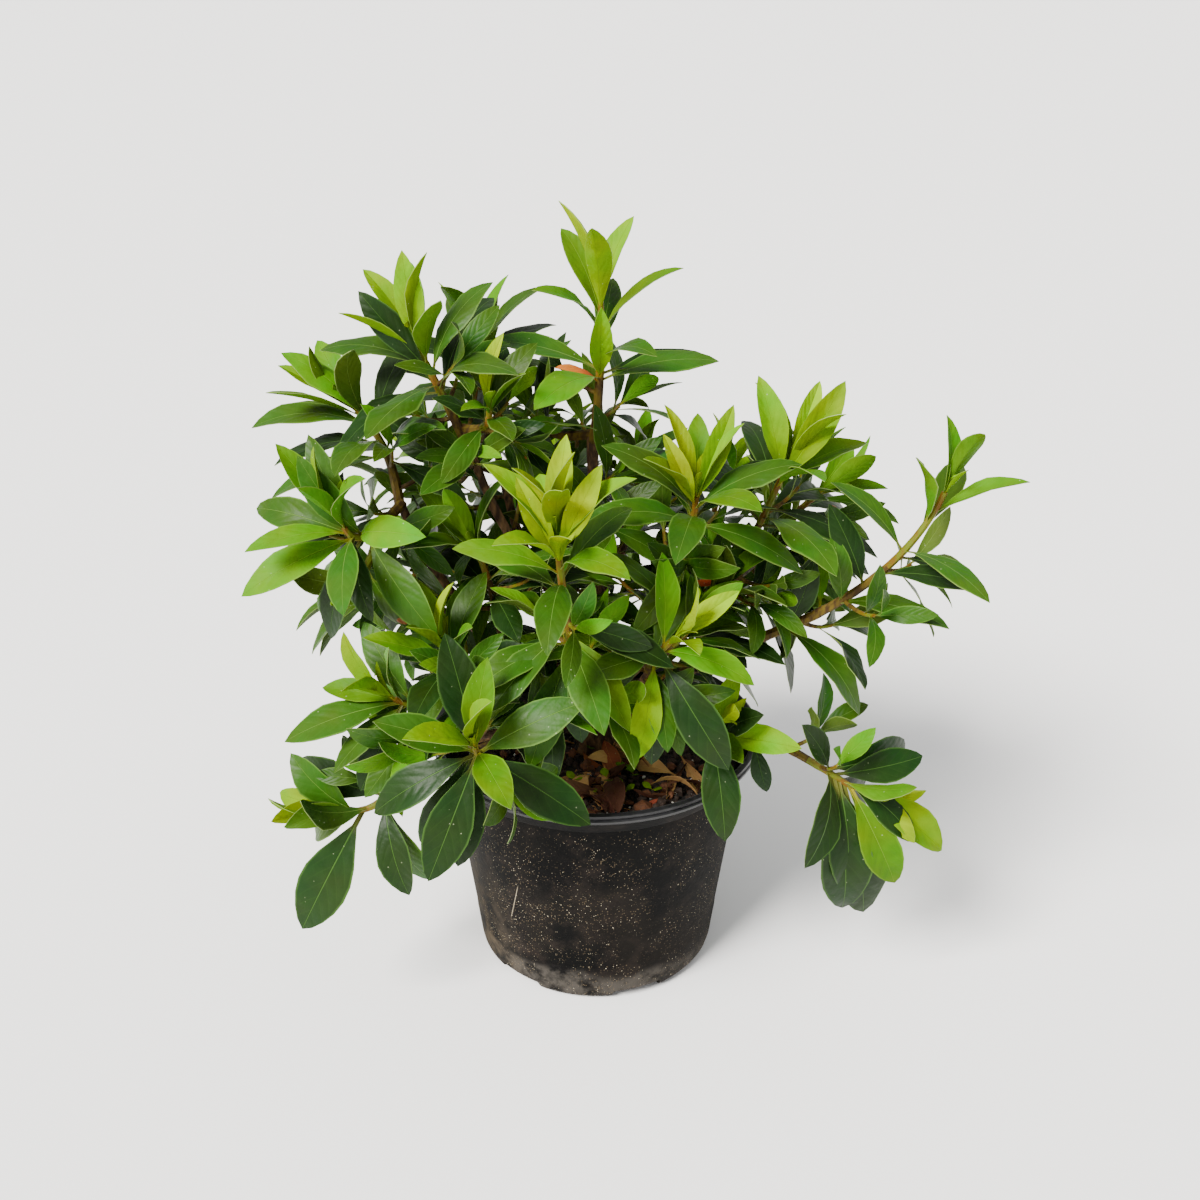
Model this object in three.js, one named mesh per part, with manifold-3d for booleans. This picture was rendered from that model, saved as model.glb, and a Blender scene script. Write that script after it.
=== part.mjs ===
// A young evergreen azalea in a 16 cm nursery pot. Millimetres, +Z up.
// The origin is the centre of the flat underside of the pot, and -Y is the front.
import * as THREE from 'three';
import { mergeVertices } from 'three/addons/utils/BufferGeometryUtils.js';
import Module from 'manifold-3d';

const wasm = await Module();
wasm.setup();

// Driving dimensions of the pot and its mix.
const POT_HEIGHT = 121;
const RIM_RADIUS = 80;
const LIP_DROP = 4;
const STEP_DROP = 13;
const STEP_RADIUS = 72.4;
const BASE_RADIUS = 60;
const HEEL_RISE = 6;
const WALL = 2;
const FLOOR = 6.5;
const DRAIN = { count: 6, first: 50, width: 25, rise: 5.5, inner: 45, hole: 4 };
const SOIL_TOP = 106;
const POT_FACETS = 36;

// Driving dimensions of the plant.
const CLEAR = 0.3;
const TRUNK = { lean: [4, 4], height: 38, foot: 9.5, waist: 6.2, head: 5.2, sides: 10, roots: 5 };
const BOUGH_SIDES = 6;
const STEM_SIDES = 3;
const STEM_RADIUS = 1.7;
const TWIG_RADIUS = 1.2;
const LEAF = {
  length: 49, broad: 0.375, slim: 0.3, sunny: 130, slimmer: 0.04, keel: 1.4, sunk: 0.5,
  near: 0.38, far: 0.72, nearHalf: 0.475, farHalf: 0.44,
};
const TURN = 137.5;
const RIM_CLEAR = 2;
const STEEP = 50;

// Limbs. A limb leaves its parent at the share "at" of its length, and its tip stands "reach"
// out from the pot's axis at "heading" degrees from +X, "height" above the mix. "bow" is the share
// of the way out that it covers before it climbs.
const BOUGHS = [
  { name: 'bough_top', from: 'trunk', at: 1, heading: 97, reach: 14, height: 158, radius: 4 },
  { name: 'bough_left_top', from: 'bough_top', at: 0.3, heading: 188, reach: 58, height: 168, radius: 3 },
  { name: 'branch_left_back', from: 'bough_left_top', at: 0.4, heading: 141, reach: 63, height: 155 },
  { name: 'bough_left', from: 'trunk', at: 0.85, heading: 188, reach: 87, height: 134, radius: 3.4,
    bow: 0.75 },
  { name: 'branch_left_under', from: 'bough_left', at: 0.4, heading: 165, reach: 86, height: 72,
    bow: 0.6 },
  { name: 'branch_inner_left', from: 'bough_left', at: 0.25, heading: 212, reach: 50, height: 76,
    bow: 0.6 },
  { name: 'bough_front_left', from: 'trunk', at: 0.6, heading: 233, reach: 90, height: 51, radius: 3.2,
    bow: 0.6 },
  { name: 'branch_left_low', from: 'bough_front_left', at: 0.45, heading: 214, reach: 100, height: 30,
    bow: 0.6 },
  { name: 'branch_left_front', from: 'bough_front_left', at: 0.3, heading: 219, reach: 72, height: 62,
    bow: 0.6 },
  { name: 'bough_front', from: 'trunk', at: 0.8, heading: 261, reach: 59, height: 66, radius: 3.2,
    bow: 0.8 },
  { name: 'bough_front_right', from: 'trunk', at: 0.65, heading: 300, reach: 48, height: 68,
    radius: 2.8 },
  { name: 'bough_right', from: 'trunk', at: 0.95, heading: 337, reach: 36, height: 111, radius: 3.4 },
  { name: 'branch_right_high', from: 'bough_right', at: 0.55, heading: 350, reach: 66, height: 100 },
  { name: 'bough_right_far', from: 'trunk', at: 0.75, heading: 345, reach: 83, height: 75, radius: 3.2,
    bow: 0.6 },
  { name: 'branch_right_back', from: 'bough_right_far', at: 0.4, heading: 23, reach: 100, height: 98 },
  { name: 'bough_right_low', from: 'trunk', at: 0.5, heading: 338, reach: 91, height: 27, radius: 3,
    bow: 0.4 },
  { name: 'branch_centre_back', from: 'bough_top', at: 0.45, heading: 68, reach: 56, height: 112 },
  { name: 'bough_back', from: 'trunk', at: 0.85, heading: 92, reach: 72, height: 72, radius: 3.2 },
  { name: 'bough_back_left', from: 'trunk', at: 0.6, heading: 134, reach: 86, height: 62, radius: 3,
    bow: 0.6 },
  { name: 'bough_back_right', from: 'trunk', at: 0.6, heading: 46, reach: 82, height: 60, radius: 3,
    bow: 0.6 },
];
const LIMB_HABIT = { radius: 2.3, bow: 0.7 };

// Masses. Each grows from a bough's tip along one stem, whose own tip is placed like a limb's and
// points at "aim" degrees (heading, climb). A whorl of older leaves stands round the stem at the
// share "whorlAt" of its length, and "tip" younger ones crowd to its end. "twist" is the heading of
// the first leaf, "side" the number of side shoots, and "far" adds single leaves that stand out:
// the share of the stem, heading, climb and length of each, and its youth if it is a young one.
const SHOOTS = [
  { name: 'shoot_top', from: 'bough_top', heading: 73, reach: 8, height: 220, aim: [140, 87], twist: 250,
    whorl: 3, tip: 8, tipFrom: 0.5, tipSize: [0.86, 0.96], spread: 62, erect: 24, sag: 0.02,
    far: [[0.36, 201, 27, 43], [0.4, 3, 9, 54], [0.42, 272, 62, 41, 0.6]] },
  { name: 'shoot_right_far', from: 'bough_right_far', heading: 345, reach: 152, height: 150,
    aim: [350, 72], twist: 20, whorlAt: 0.62, whorl: 2, tip: 6, length: 44, sag: 0.1,
    far: [[0.05, 330, -41, 52], [0.06, 336, 73, 38], [0.3, 217, 76, 36], [0.42, 172, 65, 42],
      [0.28, 330, 0, 52], [0.5, 338, 0, 46], [0.2, 100, 40, 44]] },
  { name: 'shoot_top_back', from: 'bough_top', heading: 135, reach: 42, height: 164, aim: [140, 65],
    twist: 30, whorl: 4, tip: 7, length: 44 },
  { name: 'shoot_left_top', from: 'bough_left_top', heading: 189, reach: 75, height: 203, aim: [187, 66],
    twist: 60, whorl: 5, tip: 7, spread: 64, erect: 20,
    far: [[0.75, 184, 51, 44], [0.92, 205, 82, 46, 0.6]] },
  { name: 'shoot_left_top_back', from: 'branch_left_back', heading: 143, reach: 70, height: 186,
    aim: [100, 80], twist: 10, whorl: 4, tip: 6, spread: 56,
    far: [[0.6, 5, 14, 48], [0.75, 10, 30, 44]] },
  { name: 'shoot_left_centre', from: 'bough_left_top', heading: 209, reach: 51, height: 181,
    aim: [250, 80], twist: 90, whorl: 3, tip: 8, length: 38, spread: 50 },
  { name: 'shoot_left_high', from: 'bough_left', heading: 184, reach: 104, height: 176, aim: [184, 46],
    twist: 205, whorl: 4, tip: 7, spread: 58,
    far: [[0.75, 186, 2, 52], [0.55, 190, -8, 48], [0.85, 176, 40, 46]] },
  { name: 'shoot_left', from: 'bough_left', heading: 201, reach: 114, height: 135, aim: [220, 72],
    twist: 192, whorl: 5, tip: 8, side: 1, sag: 0.06, spread: 72,
    far: [[0.6, 198, -22, 56], [0.7, 291, -45, 40]] },
  { name: 'shoot_left_under', from: 'branch_left_under', heading: 170, reach: 112, height: 78,
    aim: [185, -5], twist: 210, whorl: 2, tip: 5, length: 46, sag: 0.2, spread: 50 },
  { name: 'shoot_front_left_high', from: 'branch_left_front', heading: 220, reach: 83, height: 80,
    aim: [215, 75], twist: 80, whorl: 4, tip: 7, length: 42 },
  { name: 'shoot_front_left', from: 'bough_front_left', heading: 244, reach: 111, height: 62,
    aim: [250, 62], twist: 110, whorl: 2, tip: 6, length: 48, sag: 0.3,
    far: [[0.8, 222, -61, 58], [0.75, 350, -32, 56], [0.7, 185, -31, 52], [0.25, 195, -62, 52]] },
  { name: 'shoot_left_mid', from: 'branch_left_front', heading: 215, reach: 106, height: 63,
    aim: [200, 45], twist: 190, whorl: 2, tip: 6, length: 42,
    far: [[0.85, 191, -15, 54], [0.85, 214, -58, 44]] },
  { name: 'shoot_left_hang', from: 'branch_left_low', heading: 211, reach: 128, height: 9, aim: [190, 15],
    twist: 200, whorl: 2, tip: 5, length: 42, spread: 58, sag: 0.1,
    far: [[0.8, 202, -60, 66], [0.9, 175, 46, 40], [0.85, 198, 20, 42, 0.6], [0.45, 300, -62, 46]] },
  { name: 'shoot_centre', from: 'bough_front', heading: 260, reach: 85, height: 147, aim: [250, 78],
    twist: 300, whorlAt: 0.36, whorl: 4, tip: 13, tipFrom: 0.66, length: 46, tipSize: [1.05, 0.92],
    sag: 0.5, spread: 82, erect: 14,
    far: [[0.42, 314, -42, 50, 0.3], [0.3, 234, -58, 54], [0.33, 212, -13, 48], [0.3, 338, -83, 46],
      [0.85, 190, 66, 41, 1], [0.9, 348, 66, 43, 0.9], [0.8, 280, 40, 40, 0.9]] },
  { name: 'shoot_front_low', from: 'bough_front_right', heading: 293, reach: 81, height: 98,
    aim: [330, 50], twist: 290, whorl: 2, tip: 6, length: 40, sag: 0.3,
    far: [[0.6, 245, -67, 44, 0.5], [0.7, 330, -53, 58], [0.5, 270, -75, 46]] },
  { name: 'shoot_front_rim', from: 'bough_right_low', heading: 313, reach: 77, height: 47, aim: [320, 45],
    twist: 20, whorl: 1, tip: 4, length: 36, sag: 0.1,
    far: [[0.9, 282, -56, 50], [0.6, 335, 5, 42, 0.4], [0.15, 325, -72, 38]] },
  { name: 'shoot_right_front', from: 'bough_right', heading: 324, reach: 53, height: 145, aim: [250, 82],
    twist: 200, whorlAt: 0.55, whorl: 4, tip: 7, length: 48, spread: 66, erect: 26,
    far: [[0.8, 0, 25, 50], [0.9, 15, 70, 46, 0.85], [0.85, 195, 66, 38, 1]] },
  { name: 'shoot_right_high', from: 'branch_right_high', heading: 352, reach: 85, height: 153,
    aim: [0, 70], twist: 10, whorl: 6, tip: 6, length: 50, tipSize: [1, 0.84], spread: 66, erect: 24,
    far: [[0.8, 6, 60, 54, 0.7], [0.85, 162, 75, 48, 0.6], [0.7, 233, 53, 44, 0.3]] },
  { name: 'shoot_right_back', from: 'branch_right_back', heading: 18, reach: 114, height: 122,
    aim: [5, 25], twist: 0, whorl: 4, tip: 6, length: 42, side: 1, spread: 54,
    far: [[0.9, 345, -12, 54]] },
  { name: 'shoot_right_mid', from: 'branch_right_high', heading: 11, reach: 84, height: 102,
    aim: [20, 45], twist: 20, whorl: 5, tip: 7 },
  { name: 'shoot_right_hang', from: 'bough_right_low', heading: 336, reach: 128, height: 12,
    aim: [345, -30], twist: 15, whorlAt: 0.6, whorl: 2, tip: 5, length: 42, sag: 0.5, tipFrom: 0.76,
    far: [[0.7, 315, -80, 70], [0.78, 303, -78, 56], [0.85, 0, -78, 76], [0.88, 341, -37, 42],
      [0.7, 10, 7, 44], [0.95, 338, -62, 54, 0.5], [1, 354, -36, 54, 0.5]] },
  { name: 'shoot_centre_back', from: 'branch_centre_back', heading: 70, reach: 62, height: 123,
    aim: [70, 75], twist: 0, whorl: 5, tip: 7, length: 42 },
  { name: 'shoot_inner_left', from: 'branch_inner_left', heading: 208, reach: 58, height: 116,
    aim: [190, 70], twist: 200, whorl: 6, tip: 6 },
  { name: 'shoot_inner_right', from: 'bough_front_right', heading: 333, reach: 56, height: 92,
    aim: [340, 60], twist: 60, whorl: 5, tip: 6 },
  { name: 'shoot_back_high', from: 'bough_back', heading: 100, reach: 98, height: 114, aim: [95, 65],
    twist: 25, whorl: 6, tip: 9 },
  { name: 'shoot_back_low', from: 'bough_back', heading: 82, reach: 118, height: 66, aim: [80, 30],
    twist: 75, whorl: 6, tip: 7 },
  { name: 'shoot_back_left_high', from: 'branch_left_back', heading: 138, reach: 108, height: 122,
    aim: [138, 55], twist: 130, whorl: 6, tip: 7, side: 1 },
  { name: 'shoot_back_left_low', from: 'bough_back_left', heading: 132, reach: 118, height: 60,
    aim: [130, 25], twist: 15, whorl: 6, tip: 7 },
  { name: 'shoot_back_right_high', from: 'bough_back_right', heading: 52, reach: 104, height: 104,
    aim: [45, 60], twist: 95, whorl: 6, tip: 7, side: 1 },
  { name: 'shoot_back_right_low', from: 'bough_back_right', heading: 56, reach: 110, height: 50,
    aim: [52, 20], twist: 45, whorl: 6, tip: 7 },
];
const HABIT = {
  length: LEAF.length, side: 0, tipSize: [1.05, 0.86], whorl: 6, whorlAt: 0.42, tip: 7, tipFrom: 0.66,
  spread: 68, erect: 20, sag: 0.18, far: [],
};

const materials = {
  pot: { color: 0x23201d, roughness: 0.6, metalness: 0 },
  soil: { color: 0x2a2018, roughness: 0.98, metalness: 0 },
  bark: { color: 0x5b4330, roughness: 0.85, metalness: 0 },
  bough: { color: 0x6f5136, roughness: 0.8, metalness: 0 },
  leaf: { color: 0x3b6b2b, roughness: 0.5, metalness: 0 },
};

const radians = THREE.MathUtils.degToRad;
const up = new THREE.Vector3(0, 0, 1);
const front = new THREE.Vector3(0, -1, 0);
const light = toward(270, 55);

// A small repeatable source of numbers from 0 to 1.
function dice(seed) {
  let state = seed;
  return () => {
    state = (state * 16807) % 2147483647;
    return state / 2147483647;
  };
}

function toward(heading, climb) {
  const flat = Math.cos(radians(climb));
  return new THREE.Vector3(
    flat * Math.cos(radians(heading)), flat * Math.sin(radians(heading)), Math.sin(radians(climb)));
}

function place({ heading, reach, height }) {
  return toward(heading, 0).multiplyScalar(reach).setZ(SOIL_TOP + height);
}

function solidOf(geometry) {
  geometry.deleteAttribute('normal');
  geometry.deleteAttribute('uv');
  const merged = mergeVertices(geometry, 1e-4);
  return new wasm.Manifold(new wasm.Mesh({
    numProp: 3,
    vertProperties: new Float32Array(merged.attributes.position.array),
    triVerts: new Uint32Array(merged.index.array),
  }));
}

// The biggest connected body of a solid: scraps are dropped, and a sealed hollow is filled.
function mainBody(solid) {
  return solid.decompose().reduce((a, b) => (a.volume() > b.volume() ? a : b));
}

function meshOf(name, solid, look) {
  const { vertProperties, triVerts } = solid.getMesh();
  const geometry = new THREE.BufferGeometry();
  geometry.setAttribute('position', new THREE.BufferAttribute(vertProperties, 3));
  geometry.setIndex(new THREE.BufferAttribute(triVerts, 1));
  geometry.computeVertexNormals();
  const mesh = new THREE.Mesh(geometry, new THREE.MeshStandardMaterial(materials[look]));
  mesh.name = name;
  return mesh;
}

// A round bar bent along a flat curve. "radiusAt" gives its radius, and "grow" fattens it all over.
function bar(curve, radiusAt, sides, steps, grow = 0) {
  const across = curve.v1.clone().sub(curve.v0).cross(curve.v2.clone().sub(curve.v0));
  if (across.length() < 1e-3) {
    across.crossVectors(curve.v2.clone().sub(curve.v0), new THREE.Vector3(1, 0.3, 0.1));
  }
  across.normalize();
  const geometry = new THREE.CylinderGeometry(1, 1, 1, sides, steps);
  const { position } = geometry.attributes;
  for (let i = 0; i < position.count; i += 1) {
    const t = position.getY(i) + 0.5;
    const along = curve.getTangent(t);
    const other = across.clone().cross(along);
    const angle = Math.atan2(position.getZ(i), position.getX(i));
    const size = Math.hypot(position.getX(i), position.getZ(i)) * (radiusAt(t, angle) + grow);
    const point = curve.getPoint(t)
      .addScaledVector(across, size * Math.cos(angle))
      .addScaledVector(other, size * Math.sin(angle));
    if (t < 1e-6) point.addScaledVector(along, -grow);
    if (t > 1 - 1e-6) point.addScaledVector(along, grow);
    position.setXYZ(i, point.x, point.y, point.z);
  }
  return solidOf(geometry);
}

function makePot() {
  const stepZ = POT_HEIGHT - STEP_DROP;
  const slope = (STEP_RADIUS - BASE_RADIUS) / (stepZ - HEEL_RISE);
  const heel = Array.from({ length: 5 }, (_, i) => {
    const a = radians(22.5 * i);
    return [BASE_RADIUS - HEEL_RISE * (1 - Math.sin(a)), HEEL_RISE * (1 - Math.cos(a))];
  });
  const wallInside = (z) => BASE_RADIUS + slope * (z - HEEL_RISE) - WALL;
  const profile = [
    [0, 0],
    ...heel,
    [STEP_RADIUS, stepZ],
    [STEP_RADIUS + 1.6, stepZ + 1.2],
    [RIM_RADIUS - 1.8, POT_HEIGHT - LIP_DROP - 1],
    [RIM_RADIUS, POT_HEIGHT - LIP_DROP],
    [RIM_RADIUS, POT_HEIGHT - 1],
    [RIM_RADIUS - 1, POT_HEIGHT],
    [RIM_RADIUS - 3, POT_HEIGHT],
    [RIM_RADIUS - 4, POT_HEIGHT - 1.4],
    [wallInside(stepZ) + 0.6, stepZ + 1.6],
    [wallInside(stepZ), stepZ],
    [wallInside(FLOOR + HEEL_RISE), FLOOR + HEEL_RISE],
    [wallInside(FLOOR) - 3, FLOOR],
    [0, FLOOR],
  ].map(([r, z]) => new THREE.Vector2(r, z));
  let pot = solidOf(new THREE.LatheGeometry(profile, POT_FACETS).rotateX(Math.PI / 2));
  for (let i = 0; i < DRAIN.count; i += 1) {
    const angle = radians(DRAIN.first + (360 / DRAIN.count) * i);
    const notch = new THREE.BoxGeometry(40, DRAIN.width, 2 * DRAIN.rise);
    notch.translate(DRAIN.inner + 20, 0, 0).rotateZ(angle);
    const hole = new THREE.CylinderGeometry(DRAIN.hole, DRAIN.hole, 4 * FLOOR, 12);
    hole.rotateX(Math.PI / 2).translate(DRAIN.inner + 4, 0, 0).rotateZ(angle);
    pot = pot.subtract(solidOf(notch)).subtract(solidOf(hole));
  }
  return pot;
}

function makeSoil() {
  const stepZ = POT_HEIGHT - STEP_DROP;
  const slope = (STEP_RADIUS - BASE_RADIUS) / (stepZ - HEEL_RISE);
  const radiusAt = (z) => BASE_RADIUS + slope * (z - HEEL_RISE) - WALL - CLEAR;
  const profile = [
    [0, FLOOR + CLEAR],
    [radiusAt(FLOOR) - 3.4, FLOOR + CLEAR],
    [radiusAt(FLOOR + HEEL_RISE) - 0.4, FLOOR + HEEL_RISE],
    [radiusAt(SOIL_TOP - 4) - 0.2, SOIL_TOP - 4],
    [radiusAt(SOIL_TOP) - 5, SOIL_TOP - 1],
    [TRUNK.foot * 2.2, SOIL_TOP],
    [0, SOIL_TOP],
  ].map(([r, z]) => new THREE.Vector2(r, z));
  return solidOf(new THREE.LatheGeometry(profile, POT_FACETS).rotateX(Math.PI / 2));
}

// The short main stem, with its flat foot on the mix, its root flare and its lean.
const trunkFoot = new THREE.Vector3(0, 2, SOIL_TOP + CLEAR);
const trunkHead = new THREE.Vector3(TRUNK.lean[0], 2 + TRUNK.lean[1], SOIL_TOP + TRUNK.height);
const trunk = {
  name: 'trunk',
  curve: new THREE.QuadraticBezierCurve3(
    trunkFoot, new THREE.Vector3(trunkFoot.x, trunkFoot.y, trunkHead.z - 14), trunkHead),
  radiusAt: (t, angle = 0) => {
    const flare = (TRUNK.foot - TRUNK.waist) * (1 - t) ** 4 * (1 + 0.35 * Math.cos(TRUNK.roots * angle));
    return THREE.MathUtils.lerp(TRUNK.waist, TRUNK.head, t) + flare;
  },
  sides: TRUNK.sides,
  steps: 5,
};

// A limb's middle line: out along its bow first, then up.
function limbCurve(start, end, bow) {
  const middle = start.clone().lerp(end, 0.5);
  middle.x = THREE.MathUtils.lerp(start.x, end.x, bow);
  middle.y = THREE.MathUtils.lerp(start.y, end.y, bow);
  middle.z = THREE.MathUtils.lerp(start.z, end.z, 1 - bow);
  return new THREE.QuadraticBezierCurve3(start, middle, end);
}

const limbs = new Map([['trunk', trunk]]);
for (const given of BOUGHS) {
  const bough = { ...LIMB_HABIT, ...given };
  const parent = limbs.get(bough.from);
  const start = parent.curve.getPoint(Math.min(bough.at, 0.97));
  const tipRadius = Math.max(1.7, bough.radius * 0.6);
  limbs.set(bough.name, {
    name: bough.name,
    parent: bough.from,
    curve: limbCurve(start, place(bough), bough.bow),
    radiusAt: (t) => THREE.MathUtils.lerp(bough.radius, tipRadius, t),
    sides: BOUGH_SIDES,
    steps: 5,
  });
}

function limbSolid(limb, grow = 0) {
  return bar(limb.curve, limb.radiusAt, limb.sides, limb.steps, grow);
}

// A leaf: six corners and eight faces, its ridge along the midrib and its blade folded down.
const LEAF_FACES = [
  [0, 1, 3], [0, 3, 2], [0, 5, 1], [0, 4, 5],
  [0, 2, 4], [2, 3, 5], [2, 5, 4], [3, 1, 5],
];
function leafAt(root, along, face, length, width) {
  const across = face.clone().cross(along).normalize();
  const corner = (share, half, drop) => root.clone()
    .addScaledVector(along, share * length)
    .addScaledVector(across, half * width)
    .addScaledVector(face, -drop);
  const points = [
    corner(0, 0, 0), corner(1, 0, 0),
    corner(LEAF.near, LEAF.nearHalf, LEAF.keel), corner(LEAF.far, LEAF.farHalf, LEAF.keel),
    corner(LEAF.near, -LEAF.nearHalf, LEAF.keel), corner(LEAF.far, -LEAF.farHalf, LEAF.keel),
  ];
  const side = (a, b, c) => points[b].clone().sub(points[a])
    .cross(points[c].clone().sub(points[a])).normalize();
  return {
    points,
    normals: [side(0, 1, 3), side(0, 5, 1), side(0, 2, 4), side(2, 3, 5), side(3, 1, 5)],
    edges: [along, across,
      points[2].clone().sub(points[0]).normalize(), points[4].clone().sub(points[0]).normalize(),
      points[1].clone().sub(points[3]).normalize(), points[1].clone().sub(points[5]).normalize()],
    middle: points[0].clone().lerp(points[1], 0.5),
    size: length / 2,
    fat: 0,
  };
}

function leafSolid(leaf) {
  const geometry = new THREE.BufferGeometry().setFromPoints(leaf.points);
  geometry.setIndex(LEAF_FACES.flat());
  return solidOf(geometry);
}

// A straight stretch of limb or twig, as a line with a thickness.
function stretch(a, b, fat) {
  const along = b.clone().sub(a);
  return {
    points: [a, b],
    normals: [],
    edges: [along.clone().normalize()],
    middle: a.clone().lerp(b, 0.5),
    size: along.length() / 2,
    fat,
  };
}

function stretchesOf(curve, radiusAt, count) {
  return Array.from({ length: count }, (_, i) => stretch(
    curve.getPoint(i / count), curve.getPoint((i + 1) / count), radiusAt(i / count)));
}

// Whether two convex shapes stand at least "gap" apart, by a plane between them.
function apart(a, b, gap) {
  const need = gap + a.fat + b.fat;
  const between = b.middle.clone().sub(a.middle);
  const distance = between.length();
  if (distance > a.size + b.size + need) return true;
  const crosses = a.edges.flatMap((p) => b.edges.map((q) => p.clone().cross(q)));
  const axes = [...a.normals, ...b.normals, ...crosses, between];
  return axes.some((axis) => {
    const size = axis.length();
    if (size < 1e-6) return false;
    const spanA = a.points.map((p) => p.dot(axis) / size);
    const spanB = b.points.map((p) => p.dot(axis) / size);
    return Math.min(...spanA) - Math.max(...spanB) > need
      || Math.min(...spanB) - Math.max(...spanA) > need;
  });
}

// Nothing may come within a hair of the pot's rim and wall, or dip under the pot's own floor.
function clearOfPot(points) {
  const middles = points.flatMap((p, i) => points.slice(i + 1).map((q) => p.clone().lerp(q, 0.5)));
  return [...points, ...middles].every((p) => p.z > 6
    && (p.z > POT_HEIGHT + RIM_CLEAR || Math.hypot(p.x, p.y) > RIM_RADIUS + RIM_CLEAR));
}

// Stems first, so that every leaf can keep clear of every limb and twig.
const woods = [];
for (const limb of limbs.values()) {
  stretchesOf(limb.curve, limb.radiusAt, 6).forEach((piece) => woods.push({ owner: limb.name, piece }));
}

function stemCurve(start, tip, aim) {
  const middle = tip.clone().addScaledVector(aim, -0.45 * tip.distanceTo(start));
  return new THREE.QuadraticBezierCurve3(start, middle, tip);
}

// Two directions square to "along": the first as near to +X as it can be, the second to its left.
function squareTo(along) {
  const right = new THREE.Vector3(1, 0, 0).addScaledVector(along, -along.x).normalize();
  return [right, along.clone().cross(right)];
}

function spin(along, turn, tilt) {
  const [right, other] = squareTo(along);
  return along.clone().multiplyScalar(Math.cos(radians(tilt)))
    .addScaledVector(right, Math.sin(radians(tilt)) * Math.cos(radians(turn)))
    .addScaledVector(other, Math.sin(radians(tilt)) * Math.sin(radians(turn)));
}

const shoots = SHOOTS.map((given, index) => {
  const shoot = { ...HABIT, ...given };
  const bough = limbs.get(shoot.from);
  const roll = dice(7001 + 97 * index);
  const end = bough.curve.getPoint(1);
  const along = bough.curve.getTangent(1);
  const tip = place(shoot);
  const way = tip.clone().sub(end);
  const lateral = way.clone().addScaledVector(along, -way.dot(along)).normalize();
  const mates = SHOOTS.filter((other) => other.from === shoot.from).length;
  const start = end.clone().addScaledVector(along, 0.2).addScaledVector(lateral, mates > 1 ? 1.9 : 0);
  const curve = stemCurve(start, tip, toward(...shoot.aim));
  const leader = { ...shoot, curve, radius: STEM_RADIUS, steps: 4 };
  const stems = [leader];
  for (let i = 0; i < shoot.side; i += 1) {
    const at = 0.3 + 0.25 * i + 0.1 * roll();
    const turn = shoot.twist + 70 + 180 * i + 40 * roll();
    const base = leader.curve.getPoint(at);
    const away = spin(leader.curve.getTangent(at), turn, 48);
    const size = Math.max(24, (0.45 + 0.15 * roll()) * leader.curve.getLength());
    stems.push({
      ...shoot,
      whorl: 0,
      far: [],
      length: 0.86 * shoot.length,
      twist: turn + 60,
      steps: 3,
      radius: TWIG_RADIUS,
      curve: stemCurve(
        base, base.clone().addScaledVector(away, size), away.clone().lerp(up, 0.35).normalize()),
    });
  }
  stems.forEach((stem) => stretchesOf(stem.curve, () => stem.radius, stem.steps)
    .forEach((piece) => woods.push({ owner: shoot.name, piece })));
  return { ...shoot, stems, roll, leavesMade: [] };
});

// The leaves that a stem bears: where each stands on it, and its turn, tilt, size and droop.
function leafPlan(stem, roll) {
  const plan = stem.far.map(([t, heading, climb, length, young = 0]) => ({
    t, toward: toward(heading, climb), length, young, frontal: Math.abs(climb) > STEEP ? 0.7 : 0,
  }));
  for (let i = 0; i < stem.whorl; i += 1) {
    plan.push({
      t: stem.whorlAt + 0.03 * i,
      turn: stem.twist + TURN * i + 20 * (roll() - 0.5),
      tilt: 80 + 14 * (roll() - 0.5),
      length: stem.length * (0.96 + 0.2 * roll()),
      sag: stem.sag,
      young: 0,
      frontal: 0,
    });
  }
  for (let i = 0; i < stem.tip; i += 1) {
    const share = i / (stem.tip - 1);
    plan.push({
      t: THREE.MathUtils.lerp(stem.tipFrom, 0.985, share ** 0.8),
      turn: stem.twist + TURN * (stem.whorl + i) + 16 * (roll() - 0.5),
      tilt: THREE.MathUtils.lerp(stem.spread, stem.erect, share ** 0.9) + 10 * (roll() - 0.5),
      length: stem.length * THREE.MathUtils.lerp(...stem.tipSize, share) * (0.92 + 0.16 * roll()),
      sag: stem.sag * (1 - share) * 0.5,
      young: share,
      frontal: 0,
    });
  }
  return plan;
}

// Leaves in the shade near the mix are broad, and those in the sun are slim.
function slimness(root) {
  const sun = THREE.MathUtils.clamp((root.z - SOIL_TOP) / LEAF.sunny, 0, 1);
  return THREE.MathUtils.lerp(LEAF.broad, LEAF.slim, sun);
}

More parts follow.
